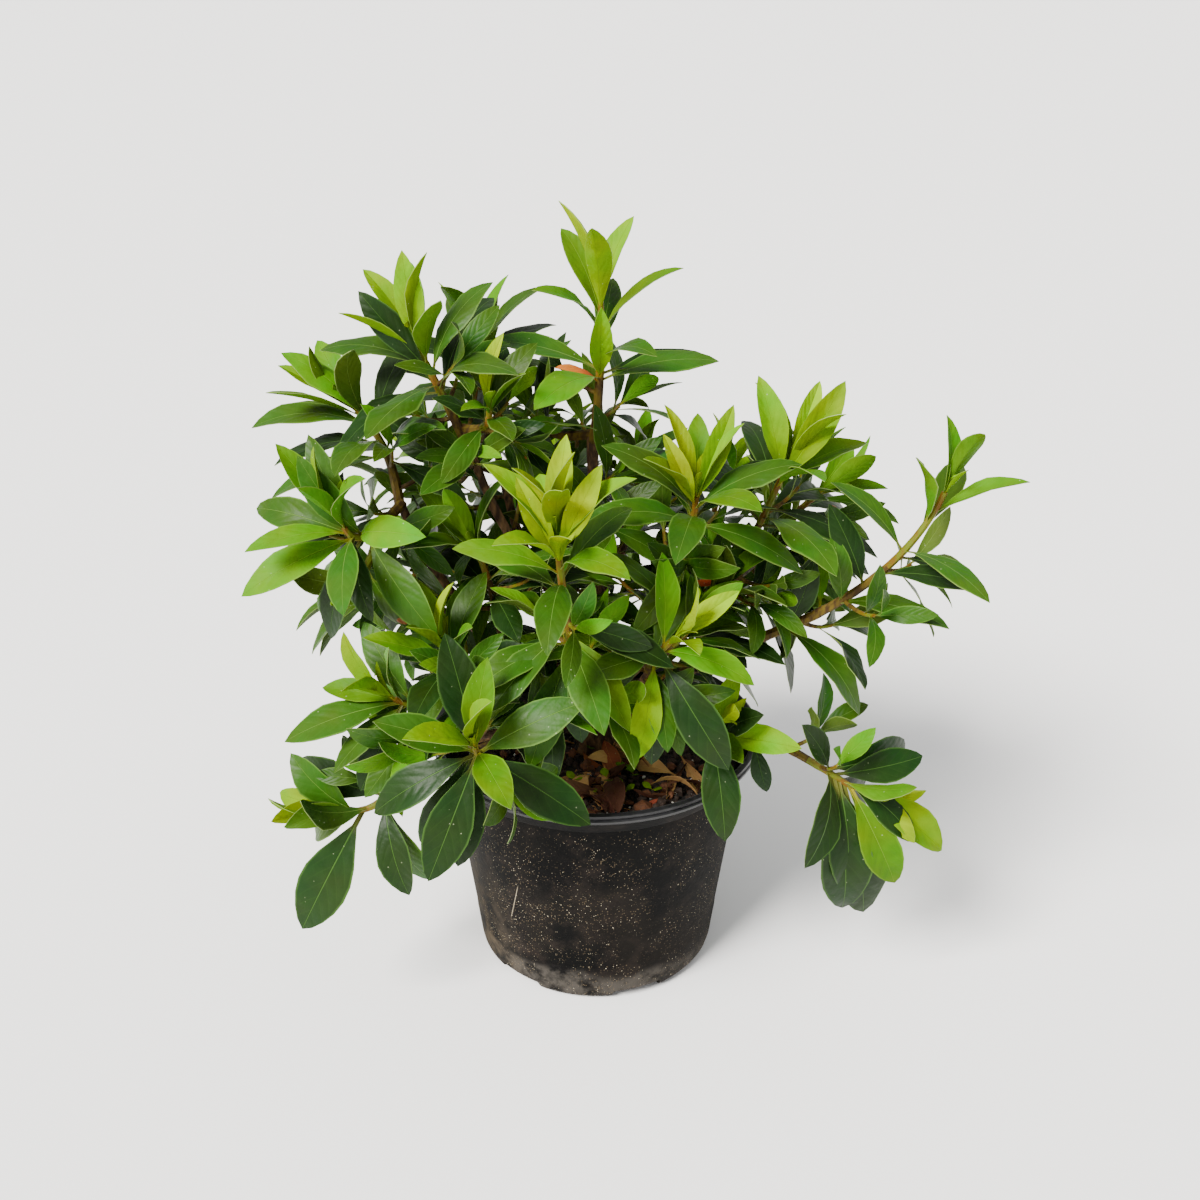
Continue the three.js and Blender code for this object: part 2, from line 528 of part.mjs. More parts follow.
// Leaves, shoot by shoot. One that would touch a neighbour is tried a little higher, lower and
// round the stem, and is left out if it still would.
const TRIES = [
  [0, 0, 1], [-14, 0, 1], [0, 24, 1], [0, -24, 1], [12, 0, 1],
  [-14, 30, 0.9], [-14, -30, 0.9], [0, 0, 0.72], [16, 40, 0.72], [16, -40, 0.72],
];
const made = [];
for (const shoot of shoots) {
  for (const [rank, stem] of shoot.stems.entries()) {
    for (const plan of leafPlan(stem, shoot.roll)) {
      const axis = stem.curve.getTangent(plan.t);
      for (const [tiltMore, turnMore, shorter] of TRIES) {
        const length = plan.length * shorter;
        const along = plan.toward ?? spin(axis, plan.turn + turnMore, plan.tilt + tiltMore)
          .addScaledVector(up, -plan.sag).normalize();
        const face = axis.clone().lerp(light, 0.55 * (1 - plan.young)).lerp(front, plan.frontal);
        face.addScaledVector(along, -face.dot(along)).normalize();
        const root = stem.curve.getPoint(plan.t).addScaledVector(along, -LEAF.sunk);
        const width = length * (slimness(root) - LEAF.slimmer * plan.young);
        const leaf = { ...leafAt(root, along, face, length, width), shoot: shoot.name, rank };
        const clear = clearOfPot(leaf.points)
          && woods.every(({ owner, piece }) => owner === shoot.name || apart(leaf, piece, 2 * CLEAR))
          && made.every((other) => (other.shoot === shoot.name && other.rank === rank)
            || apart(leaf, other, 2 * CLEAR));
        if (clear) {
          made.push(leaf);
          shoot.leavesMade.push(leaf);
          break;
        }
      }
    }
  }
}

function shootSolid(shoot) {
  const stems = shoot.stems.map(
    (stem) => bar(stem.curve, (t) => stem.radius * (1 - 0.25 * t), STEM_SIDES, stem.steps));
  const whole = wasm.Manifold.union([...stems, ...shoot.leavesMade.map(leafSolid)]);
  return mainBody(whole.subtract(limbSolid(limbs.get(shoot.from), CLEAR)));
}

const group = new THREE.Group();
group.add(meshOf('pot', makePot(), 'pot'));
group.add(meshOf('soil', makeSoil(), 'soil'));
group.add(meshOf('trunk', limbSolid(trunk), 'bark'));
const seated = [trunk];
for (const bough of BOUGHS) {
  const limb = limbs.get(bough.name);
  const cut = seated.reduce((solid, other) => solid.subtract(limbSolid(other, CLEAR)), limbSolid(limb));
  group.add(meshOf(bough.name, mainBody(cut), 'bough'));
  seated.push(limb);
}
for (const shoot of shoots) {
  group.add(meshOf(shoot.name, shootSolid(shoot), 'leaf'));
}

export default group;
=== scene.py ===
# %% [markdown]
# # A potted azalea
# This lesson dresses a plain CAD model of a young evergreen azalea in a nursery pot. The CAD solids
# fix every size and place. Each step below replaces some of them by a finer piece of the same reach,
# or gives it a finish: first the pot and its mix, then the wood, then the leaves.

import math
from types import SimpleNamespace

import bmesh
import bpy
import numpy as np
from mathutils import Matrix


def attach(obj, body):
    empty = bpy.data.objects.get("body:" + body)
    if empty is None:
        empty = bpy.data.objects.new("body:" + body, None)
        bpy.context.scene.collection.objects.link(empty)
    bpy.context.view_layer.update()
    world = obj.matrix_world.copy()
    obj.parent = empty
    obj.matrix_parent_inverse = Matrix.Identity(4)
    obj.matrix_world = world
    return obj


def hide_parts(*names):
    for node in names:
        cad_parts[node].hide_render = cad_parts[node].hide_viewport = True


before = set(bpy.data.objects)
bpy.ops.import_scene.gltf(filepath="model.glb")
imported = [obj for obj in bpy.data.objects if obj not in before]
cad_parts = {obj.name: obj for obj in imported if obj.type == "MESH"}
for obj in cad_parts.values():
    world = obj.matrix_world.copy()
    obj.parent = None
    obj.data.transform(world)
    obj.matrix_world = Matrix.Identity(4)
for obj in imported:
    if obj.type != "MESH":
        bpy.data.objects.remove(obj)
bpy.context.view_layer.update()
MM = 0.001
print("CAD nodes:", len(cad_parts))

# %% [markdown]
# The photo looks down at the plant from in front. A camera in Blender has a lens in millimetres on a
# 36 mm wide sensor, so a long side of 1200 pixels and a focal length of 1300 pixels make 39 mm.
# The light is plain: a bright even sky, and one soft sun from high on the left.

# %% Camera, light and floor
FOCAL_PIXELS = 1300
IMAGE_PIXELS = 1200
EYE = (0.002, -0.554, 0.444)
LOOKS_DOWN = 24.8


def set_camera():
    bpy.ops.object.camera_add(location=EYE, rotation=(math.radians(90 - LOOKS_DOWN), 0, 0))
    camera = bpy.context.active_object
    camera.data.sensor_width = 36
    camera.data.lens = 36 * FOCAL_PIXELS / IMAGE_PIXELS
    bpy.context.scene.camera = camera
    return camera


def set_light():
    bpy.ops.object.light_add(type="SUN", rotation=[math.radians(a) for a in (38, -30, -12)])
    sun = bpy.context.active_object
    sun.data.energy = 10.2
    sun.data.angle = math.radians(24)
    sun.data.color = (1, 0.97, 0.92)
    sky = bpy.data.worlds.new("studio sky")
    sky.use_nodes = True
    background = sky.node_tree.nodes["Background"]
    background.inputs["Color"].default_value = (1, 1, 1, 1)
    background.inputs["Strength"].default_value = 0.9
    bpy.context.scene.world = sky
    return sun


def deselect():
    bpy.ops.object.select_all(action="DESELECT")


def select(*pieces):
    """Selects these pieces only and makes the first one active."""
    deselect()
    for piece in pieces:
        piece.select_set(True)
    bpy.context.view_layer.objects.active = pieces[0]


def name_it(name):
    piece = bpy.context.active_object
    piece.name = piece.data.name = name
    return piece


deselect()
camera = set_camera()
sun = set_light()
bpy.ops.mesh.primitive_plane_add(size=2400, location=(0, 0, 0))
floor = name_it("studio_floor")
print("camera lens", round(camera.data.lens, 2), "mm, sun", sun.data.energy)

# %% [markdown]
# Every finish is made of shader nodes. A wire is one output of a node, and these short helpers take
# and give wires, so that a material reads as plain arithmetic of what is mixed with what.

# %% Helpers for shader nodes
def linear(code):
    """A colour for a socket from a screen colour such as "3a5f2b"."""
    channels = [int(code[i:i + 2], 16) / 255 for i in (0, 2, 4)]
    return (*[c / 12.92 if c <= 0.04045 else ((c + 0.055) / 1.055) ** 2.4 for c in channels], 1)


def fill(sockets, values):
    """Links or sets sockets by name or number."""
    for key, value in values.items():
        if isinstance(value, Wire):
            value.tree.links.new(value.socket, sockets[key])
        else:
            sockets[key].default_value = value


def wire(tree, kind, inputs=None, out=0, **options):
    """Adds a node with its options and inputs, and gives the wire of one of its outputs."""
    node = tree.nodes.new("ShaderNode" + kind)
    for option, value in options.items():
        setattr(node, option, value)
    fill(node.inputs, inputs or {})
    return Wire(node.outputs[out])


class Wire:
    """A value in a node tree. Arithmetic on wires adds Math nodes; "|" takes the larger of two."""

    def __init__(self, socket):
        self.socket, self.tree = socket, socket.id_data

    def maths(self, operation, other=0.0):
        return wire(self.tree, "Math", {0: self, 1: other}, operation=operation)

    def __add__(self, other):
        return self.maths("ADD", other)

    def __sub__(self, other):
        return self.maths("SUBTRACT", other)

    def __rsub__(self, other):
        return wire(self.tree, "Math", {0: other, 1: self}, operation="SUBTRACT")

    def __mul__(self, other):
        return self.maths("MULTIPLY", other)

    def __truediv__(self, other):
        return self.maths("DIVIDE", other)

    def __or__(self, other):
        return self.maths("MAXIMUM", other)

    def __lt__(self, other):
        return self.maths("LESS_THAN", other)

    def __abs__(self):
        return self.maths("ABSOLUTE")

    def clamped(self):
        self.socket.node.use_clamp = True
        return self

    def also(self, out):
        """Another output of the same node."""
        return Wire(self.socket.node.outputs[out])


def blend(share, a, b):
    return wire(share.tree, "Mix", {"Factor": share, 6: a, 7: b}, 2, data_type="RGBA")


def fade(value, start, end):
    """Goes smoothly from 0 at start to 1 at end."""
    return wire(value.tree, "MapRange", {"Value": value, "From Min": start, "From Max": end}, "Result",
                interpolation_type="SMOOTHSTEP")


def noise(place, scale, detail, rough=0.5):
    return wire(place.tree, "TexNoise", {"Vector": place, "Scale": scale, "Detail": detail,
                                         "Roughness": rough}, "Fac")


def bump(height, strength, depth):
    return wire(height.tree, "Bump", {"Height": height, "Strength": strength, "Distance": depth}, "Normal")


def object_place(tree):
    return wire(tree, "TexCoord", out="Object")


def new_group(name, inputs, outputs):
    """An empty node group: its tree, its input wires and the sockets that take its results."""
    tree = bpy.data.node_groups.new(name, "ShaderNodeTree")
    for label, (kind, value) in inputs.items():
        socket = tree.interface.new_socket(label, in_out="INPUT", socket_type="NodeSocket" + kind)
        socket.default_value = value
    for label, kind in outputs.items():
        tree.interface.new_socket(label, in_out="OUTPUT", socket_type="NodeSocket" + kind)
    given = {s.name: Wire(s) for s in tree.nodes.new("NodeGroupInput").outputs if s.name}
    return tree, given, tree.nodes.new("NodeGroupOutput").inputs


def use(tree, group, **inputs):
    """Places a node group and gives the wires of its results."""
    node = tree.nodes.new("ShaderNodeGroup")
    node.node_tree = group
    fill(node.inputs, inputs)
    return {socket.name: Wire(socket) for socket in node.outputs}


def new_material(name, specular=0.5, roughness=0.5):
    """A material with one Principled shader: its node tree and the shader's inputs."""
    material = bpy.data.materials.new(name)
    material.use_nodes = True
    shader = material.node_tree.nodes["Principled BSDF"].inputs
    fill(shader, {"Specular IOR Level": specular, "Roughness": roughness})
    return material, material.node_tree, shader


print("node helpers ready")

# %% [markdown]
# Grain is the fine unevenness that plastic, bark, mix and leaves all have. It is one node group: two
# sizes of noise on the object's own coordinates, given out as a mask and as a height for bump. Bark,
# grit and other grained surfaces take their colour, gloss and relief from it.

# %% A shared grain
def make_grain():
    tree, given, results = new_group(
        "grain", {"Scale": ("Float", 300.0), "Stretch": ("Vector", (1, 1, 1))},
        {"Mask": "Float", "Height": "Float"})
    turned = wire(tree, "Mapping", {"Vector": object_place(tree), "Scale": given["Stretch"]})
    coarse = noise(turned, given["Scale"], 3.0)
    fine = noise(turned, given["Scale"] * 4.3, 2.0)
    fill(results, {"Mask": coarse, "Height": coarse + fine * 0.4})
    return tree


def make_grained(name, dark, pale, scale, rough, relief=None, stretch=(1, 1, 1), contrast=None, specular=0.5):
    """A finish that varies with the grain: rough is a start and a range, relief a strength and a depth."""
    material, tree, shader = new_material(name, specular)
    out = use(tree, grain, Scale=scale, Stretch=stretch)
    share = fade(out["Mask"], *contrast) if contrast else out["Mask"]
    fill(shader, {"Base Color": blend(share, linear(dark), linear(pale)),
                  "Roughness": out["Mask"] * rough[1] + rough[0]})
    if relief:
        fill(shader, {"Normal": bump(out["Height"], *relief)})
    return material


grain = make_grain()
floor_finish, _, floor_sockets = new_material("studio floor", roughness=0.9)
fill(floor_sockets, {"Base Color": (0.93, 0.93, 0.93, 1)})
floor.data.materials.append(floor_finish)
print("groups:", grain.name)

# %% [markdown]
# The pot is a blow-moulded nursery pot: a tapered wall with a rolled lip, a step under it and a
# rounded heel. By hand one starts from a circle at the foot and extrudes it ring by ring, each ring
# moved up and resized about the axis. The list gives each ring's radius and height in millimetres.

# %% Profile of the pot
POT_HEIGHT = 121
RIM = 80
STEP = 72.4
FOOT = 60
WALL = 2
FLOOR = 6.5
STEP_Z = POT_HEIGHT - 13
HEEL = 6
SLOPE = (STEP - FOOT) / (STEP_Z - HEEL)


def wall_radius(z):
    return FOOT + SLOPE * (z - HEEL)


heel = [(FOOT - HEEL * (1 - math.sin(a)), HEEL * (1 - math.cos(a))) for a in np.radians([22.5, 45, 67.5, 90])]
outside = [
    (52, 0.9), (52.8, 0), (FOOT - HEEL, 0), *heel, (wall_radius(22), 22), (wall_radius(22.8) - 0.25, 22.8),
    (wall_radius(60), 60), (wall_radius(STEP_Z - 6), STEP_Z - 6), (STEP - 0.1, STEP_Z - 0.4),
    (STEP + 0.9, STEP_Z + 0.1), (STEP + 1.6, STEP_Z + 1.2), (RIM - 2.6, POT_HEIGHT - 7),
    (RIM - 1.9, POT_HEIGHT - 5.2), (RIM - 0.7, POT_HEIGHT - 4.9), (RIM, POT_HEIGHT - 4.2),
    (RIM, POT_HEIGHT - 3.2), (RIM - 0.9, POT_HEIGHT - 2.5), (RIM - 0.7, POT_HEIGHT - 2.1),
    (RIM, POT_HEIGHT - 1.3), (RIM - 0.3, POT_HEIGHT - 0.4), (RIM - 1.1, POT_HEIGHT), (RIM - 2.3, POT_HEIGHT),
]
inside = [
    (RIM - 3.4, POT_HEIGHT - 0.5), (RIM - 4, POT_HEIGHT - 1.8), (RIM - 5.2, POT_HEIGHT - 7),
    (wall_radius(STEP_Z) - WALL + 0.6, STEP_Z + 1.6), (wall_radius(STEP_Z) - WALL, STEP_Z - 1),
    (wall_radius(60) - WALL, 60), (wall_radius(FLOOR + HEEL) - WALL, FLOOR + HEEL),
    (wall_radius(FLOOR) - WALL - 3, FLOOR),
]
print("rings:", len(outside) + len(inside))

# %% Model the pot
RING_SIDES = 96


def pick(piece, test):
    """Selects, in edit mode, the points whose place passes the test."""
    shape = bmesh.from_edit_mesh(piece.data)
    for point in shape.verts:
        point.select = bool(test(point.co))
    shape.select_flush_mode()
    bmesh.update_edit_mesh(piece.data)


def extrude_rings(piece, start, rings):
    """Extrudes the selected edge ring along a list of (radius, height), in millimetres."""
    radius, height = start
    for next_radius, next_height in rings:
        bpy.ops.mesh.extrude_edges_move()
        share = next_radius / radius
        bpy.ops.transform.resize(value=(share, share, 1), center_override=(0, 0, height * MM))
        bpy.ops.transform.translate(value=(0, 0, (next_height - height) * MM))
        radius, height = next_radius, next_height


def finish_shape():
    bpy.ops.mesh.select_all(action="SELECT")
    bpy.ops.mesh.remove_doubles(threshold=0.00001)
    bpy.ops.mesh.normals_make_consistent(inside=False)
    bpy.ops.object.mode_set(mode="OBJECT")


deselect()
bpy.ops.mesh.primitive_circle_add(vertices=RING_SIDES, radius=51 * MM, fill_type="NGON", location=(0, 0, 0))
pot = name_it("nursery_pot")
bpy.ops.object.mode_set(mode="EDIT")
bpy.ops.transform.translate(value=(0, 0, 0.9 * MM))
extrude_rings(pot, (51, 0.9), outside + inside)
bpy.ops.mesh.edge_face_add()
finish_shape()
print(pot.name, "faces:", len(pot.data.polygons))

# %% [markdown]
# The foot has six shallow drain notches, and inside each a drain hole. They are cut with a Boolean
# modifier: one notch block and one round bar are modelled, copied round the axis and joined to one
# cutter, which is deleted after the cut is applied.

# %% Cut the drain notches and holes
DRAINS = 6
FIRST_DRAIN = 50
NOTCH_AT = 0.065
HOLE_AT = 0.045


def apply_all(piece):
    select(piece)
    for modifier in list(piece.modifiers):
        bpy.ops.object.modifier_apply(modifier=modifier.name)


def at_origin(piece):
    select(piece)
    bpy.ops.object.transform_apply(location=True, rotation=True, scale=True)


def join(pieces):
    select(*pieces)
    bpy.ops.object.join()
    return bpy.context.active_object


def add_notch_cutter(angle):
    out = (math.cos(angle), math.sin(angle))
    bpy.ops.mesh.primitive_cube_add(size=1, scale=(0.04, 0.025, 0.011), rotation=(0, 0, angle),
                                    location=(NOTCH_AT * out[0], NOTCH_AT * out[1], 0))
    notch = bpy.context.active_object
    rounding = notch.modifiers.new("rounding", "BEVEL")
    rounding.width = 0.0016
    rounding.segments = 3
    apply_all(notch)
    bpy.ops.mesh.primitive_cylinder_add(vertices=24, radius=0.004, depth=0.03,
                                        location=(HOLE_AT * out[0], HOLE_AT * out[1], 0))
    return [notch, bpy.context.active_object]


drains = [math.radians(FIRST_DRAIN + 360 / DRAINS * i) for i in range(DRAINS)]
cutter = join([part for angle in drains for part in add_notch_cutter(angle)])
cut = pot.modifiers.new("drains", "BOOLEAN")
cut.operation = "DIFFERENCE"
cut.solver = "EXACT"
cut.use_self = True
cut.object = cutter
apply_all(pot)
bpy.data.objects.remove(cutter, do_unlink=True)
bpy.ops.object.shade_smooth_by_angle(angle=math.radians(35))
print(pot.name, "faces after the cut:", len(pot.data.polygons))

# %% [markdown]
# The plastic is black going brown with dust. Pale grains stick all over it, soil has dried in a band
# above the heel and on the left, and one pale scratch runs down the front left. Each is a mask: spots
# from Voronoi cells, a band from the height, the scratch from its distance to a slanted line. The lip
# has a finish of its own, rubbed to a dull shine.

# %% Finish of the pot
def make_specks():
    """Small round grains, one in some of the cells of a Voronoi pattern."""
    tree, given, results = new_group(
        "specks", {"Scale": ("Float", 500.0), "Size": ("Float", 0.2), "Share": ("Float", 0.3)},
        {"Mask": "Float"})
    cells = wire(tree, "TexVoronoi", {"Vector": object_place(tree), "Scale": given["Scale"]}, "Color")
    chance = wire(tree, "SeparateColor", {0: cells})
    near = cells.also("Distance") < given["Size"] * (chance.also(1) + 0.35)
    fill(results, {"Mask": (chance < given["Share"]) * near})
    return tree


specks = make_specks()


def speckle(tree, scale, size, share):
    return use(tree, specks, Scale=scale, Size=size, Share=share)["Mask"]


def make_scratch(x, y, z):
    """A thin line down the front left of the wall that fades out at both ends."""
    slant, foot, middle, width = 0.179, -0.0484, 0.0546, 0.0002
    off_line = abs(x - z * slant - foot)
    return (off_line < width) * (y < 0.0) * (1.0 - fade(abs(z - middle), 0.008, 0.013))


def make_pot_plastic():
    material, tree, shader = new_material("dusty black plastic", specular=0.07)
    place = object_place(tree)
    x = wire(tree, "SeparateXYZ", {0: place})
    y, z = x.also(1), x.also(2)
    patches = noise(place, 26.0, 5.0)
    smears = noise(place, 95.0, 8.0, 0.65)
    colour = blend(fade(patches, 0.42, 0.62), linear("030303"), linear("120f0c"))
    colour = blend(fade(smears, 0.45, 0.72) * 0.6, colour, linear("221c18"))
    ragged = patches * 0.03 + smears * 0.012
    band = 1.0 - fade(z + ragged, 0.035, 0.041)
    left = fade(x, -0.03, -0.062)
    low_left = left * (1.1 - z * 14.0).clamped()
    dirt = (band | low_left) * fade(smears, 0.34, 0.62)
    colour = blend(dirt * 0.85, colour, blend(left, linear("45413c"), linear("4c4233")))
    below_lip = 1.0 - fade(z, 0.102, 0.11)
    strewn = below_lip * fade(noise(place, 60.0, 4.0), 0.34, 0.6)
    grains = (speckle(tree, 1200.0, 0.21, 0.14) | speckle(tree, 620.0, 0.15, 0.035)) * strewn
    colour = blend(speckle(tree, 1300.0, 0.32, 0.32) * strewn * 0.7, colour, linear("625541"))
    colour = blend(grains * 0.85, colour, linear("bfb59c"))
    colour = blend(make_scratch(x, y, z) * 0.6, colour, linear("9c917c"))
    height = use(tree, grain, Scale=420.0)["Height"] + grains * 1.5
    fill(shader, {"Base Color": colour, "Roughness": (dirt * 0.2 + 0.66).clamped(),
                  "Normal": bump(height, 0.35, 0.0006)})
    return material


LIP_Z = POT_HEIGHT - 6
pot.data.materials.append(make_pot_plastic())
pot.data.materials.append(make_grained("rubbed black plastic", "08080a", "222224", 380.0, (0.24, 0.24),
                                       (0.3, 0.0004), stretch=(1, 1, 3)))
for face in pot.data.polygons:
    face.material_index = int(face.center.z > LIP_Z * MM)
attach(pot, "root")
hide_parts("pot")
print(pot.name, "finished")

# %% [markdown]
# The mix fills the pot up to a finger below the rim. It starts as a round plate inset ring by ring,
# gets a wall and a floor by extrusion, and two Displace modifiers give it lumps and crumbs. A Displace
# modifier moves points along their normals by a noise texture.

# %% Model the potting mix
SOIL_TOP = 106
MIX_GAP = 0.4
INSETS = 22
INSET = 2.9


def displace(piece, name, size, strength, group=None):
    """Adds a Displace modifier with a cloud noise, in millimetres."""
    clouds = bpy.data.textures.new(name, "CLOUDS")
    clouds.noise_scale = size * MM
    clouds.noise_depth = 3
    modifier = piece.modifiers.new(name, "DISPLACE")
    modifier.texture = clouds
    modifier.texture_coords = "GLOBAL"
    modifier.strength = strength * MM
    modifier.mid_level = 0.5
    if group:
        modifier.vertex_group = group


def model_mix():
    top_radius = wall_radius(SOIL_TOP) - WALL - MIX_GAP
    deselect()
    bpy.ops.mesh.primitive_circle_add(vertices=RING_SIDES, radius=top_radius * MM, fill_type="NGON",
                                      location=(0, 0, SOIL_TOP * MM))
    mix = name_it("potting_mix_surface")
    at_origin(mix)
    bpy.ops.object.mode_set(mode="EDIT")
    for _ in range(INSETS):
        bpy.ops.mesh.inset(thickness=INSET * MM)
    bpy.ops.mesh.select_all(action="SELECT")
    bpy.ops.mesh.subdivide(number_cuts=1)
    bpy.ops.object.mode_set(mode="OBJECT")
    inner = mix.vertex_groups.new(name="loose top")
    spots = [v.index for v in mix.data.vertices if v.co.xy.length < (top_radius - 1.5) * MM]
    inner.add(spots, 1.0, "REPLACE")
    displace(mix, "lumps", 16, 5, "loose top")
    displace(mix, "crumbs", 3.4, 3, "loose top")
    apply_all(mix)
    bpy.ops.object.mode_set(mode="EDIT")
    pick(mix, lambda co: co.xy.length > (top_radius - 0.3) * MM)
    extrude_rings(mix, (top_radius, SOIL_TOP), [
        (wall_radius(SOIL_TOP - 6) - WALL - MIX_GAP, SOIL_TOP - 6),
        (wall_radius(FLOOR + HEEL) - WALL - 0.6, FLOOR + HEEL),
        (wall_radius(FLOOR) - WALL - 3.6, FLOOR + 0.4)])
    bpy.ops.mesh.edge_face_add()
    finish_shape()
    bpy.ops.object.shade_smooth()
    return mix


mix = model_mix()
print(mix.name, "faces:", len(mix.data.polygons))

# %% Finish of the potting mix
def make_mix_finish():
    material, tree, shader = new_material("damp potting mix")
    clods = noise(object_place(tree), 160.0, 6.0)
    dark = blend(fade(clods, 0.4, 0.75), linear("0b0806"), linear("2c2018"))
    height = use(tree, grain, Scale=520.0)["Height"]
    fill(shader, {"Base Color": blend(speckle(tree, 330.0, 0.22, 0.12) * 0.5, dark, linear("7c6a52")),
                  "Roughness": clods * 0.2 + 0.8, "Normal": bump(height, 0.9, 0.0015)})
    return material


mix.data.materials.append(make_mix_finish())
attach(mix, "root")
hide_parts("soil")
print(mix.name, "finished")

# %% [markdown]
# The plant grows by the same rule as the CAD model, written again here. Limbs and shoots are placed
# from the pot's axis by a heading, a reach and a height above the mix, in millimetres. Random turns
# come from a small repeatable dice, so that both models grow the same stems and leaves.

# %% Sizes and limbs of the plant
CLEAR = 0.3
TRUNK_Y = 2
STEM_RADIUS = 1.7
TWIG_RADIUS = 1.2
LEAF = {"length": 49, "broad": 0.375, "slim": 0.3, "sunny": 130, "slimmer": 0.04, "keel": 1.4, "sunk": 0.5}
TURN = 137.5
STEEP = 50
TRUNK = SimpleNamespace(lean=(4, 4), height=38, foot=9.5, waist=6.2, head=5.2, roots=5)
BOUGHS = [
    ("bough_top", "trunk", 1, 97, 14, 158, 4, 0.7),
    ("bough_left_top", "bough_top", 0.3, 188, 58, 168, 3, 0.7),
    ("branch_left_back", "bough_left_top", 0.4, 141, 63, 155, 2.3, 0.7),
    ("bough_left", "trunk", 0.85, 188, 87, 134, 3.4, 0.75),
    ("branch_left_under", "bough_left", 0.4, 165, 86, 72, 2.3, 0.6),
    ("branch_inner_left", "bough_left", 0.25, 212, 50, 76, 2.3, 0.6),
    ("bough_front_left", "trunk", 0.6, 233, 90, 51, 3.2, 0.6),
    ("branch_left_low", "bough_front_left", 0.45, 214, 100, 30, 2.3, 0.6),
    ("branch_left_front", "bough_front_left", 0.3, 219, 72, 62, 2.3, 0.6),
    ("bough_front", "trunk", 0.8, 261, 59, 66, 3.2, 0.8),
    ("bough_front_right", "trunk", 0.65, 300, 48, 68, 2.8, 0.7),
    ("bough_right", "trunk", 0.95, 337, 36, 111, 3.4, 0.7),
    ("branch_right_high", "bough_right", 0.55, 350, 66, 100, 2.3, 0.7),
    ("bough_right_far", "trunk", 0.75, 345, 83, 75, 3.2, 0.6),
    ("branch_right_back", "bough_right_far", 0.4, 23, 100, 98, 2.3, 0.7),
    ("bough_right_low", "trunk", 0.5, 338, 91, 27, 3, 0.4),
    ("branch_centre_back", "bough_top", 0.45, 68, 56, 112, 2.3, 0.7),
    ("bough_back", "trunk", 0.85, 92, 72, 72, 3.2, 0.7),
    ("bough_back_left", "trunk", 0.6, 134, 86, 62, 3, 0.6),
    ("bough_back_right", "trunk", 0.6, 46, 82, 60, 3, 0.6),
]
print("boughs:", len(BOUGHS))

# %% [markdown]
# A shoot is one leading stem with a whorl of older leaves round its middle and younger ones crowding
# to its tip. A row gives its name, its limb, its tip's heading, reach and height, where it aims and
# its first leaf's turn, then what differs from the habit that all share. "flush" is the share of new
# growth: a shoot in full flush ends in yellow-green leaves. "far" lists single leaves that reach out:
# place on the stem, heading, climb, length and, for a young leaf, its youth.

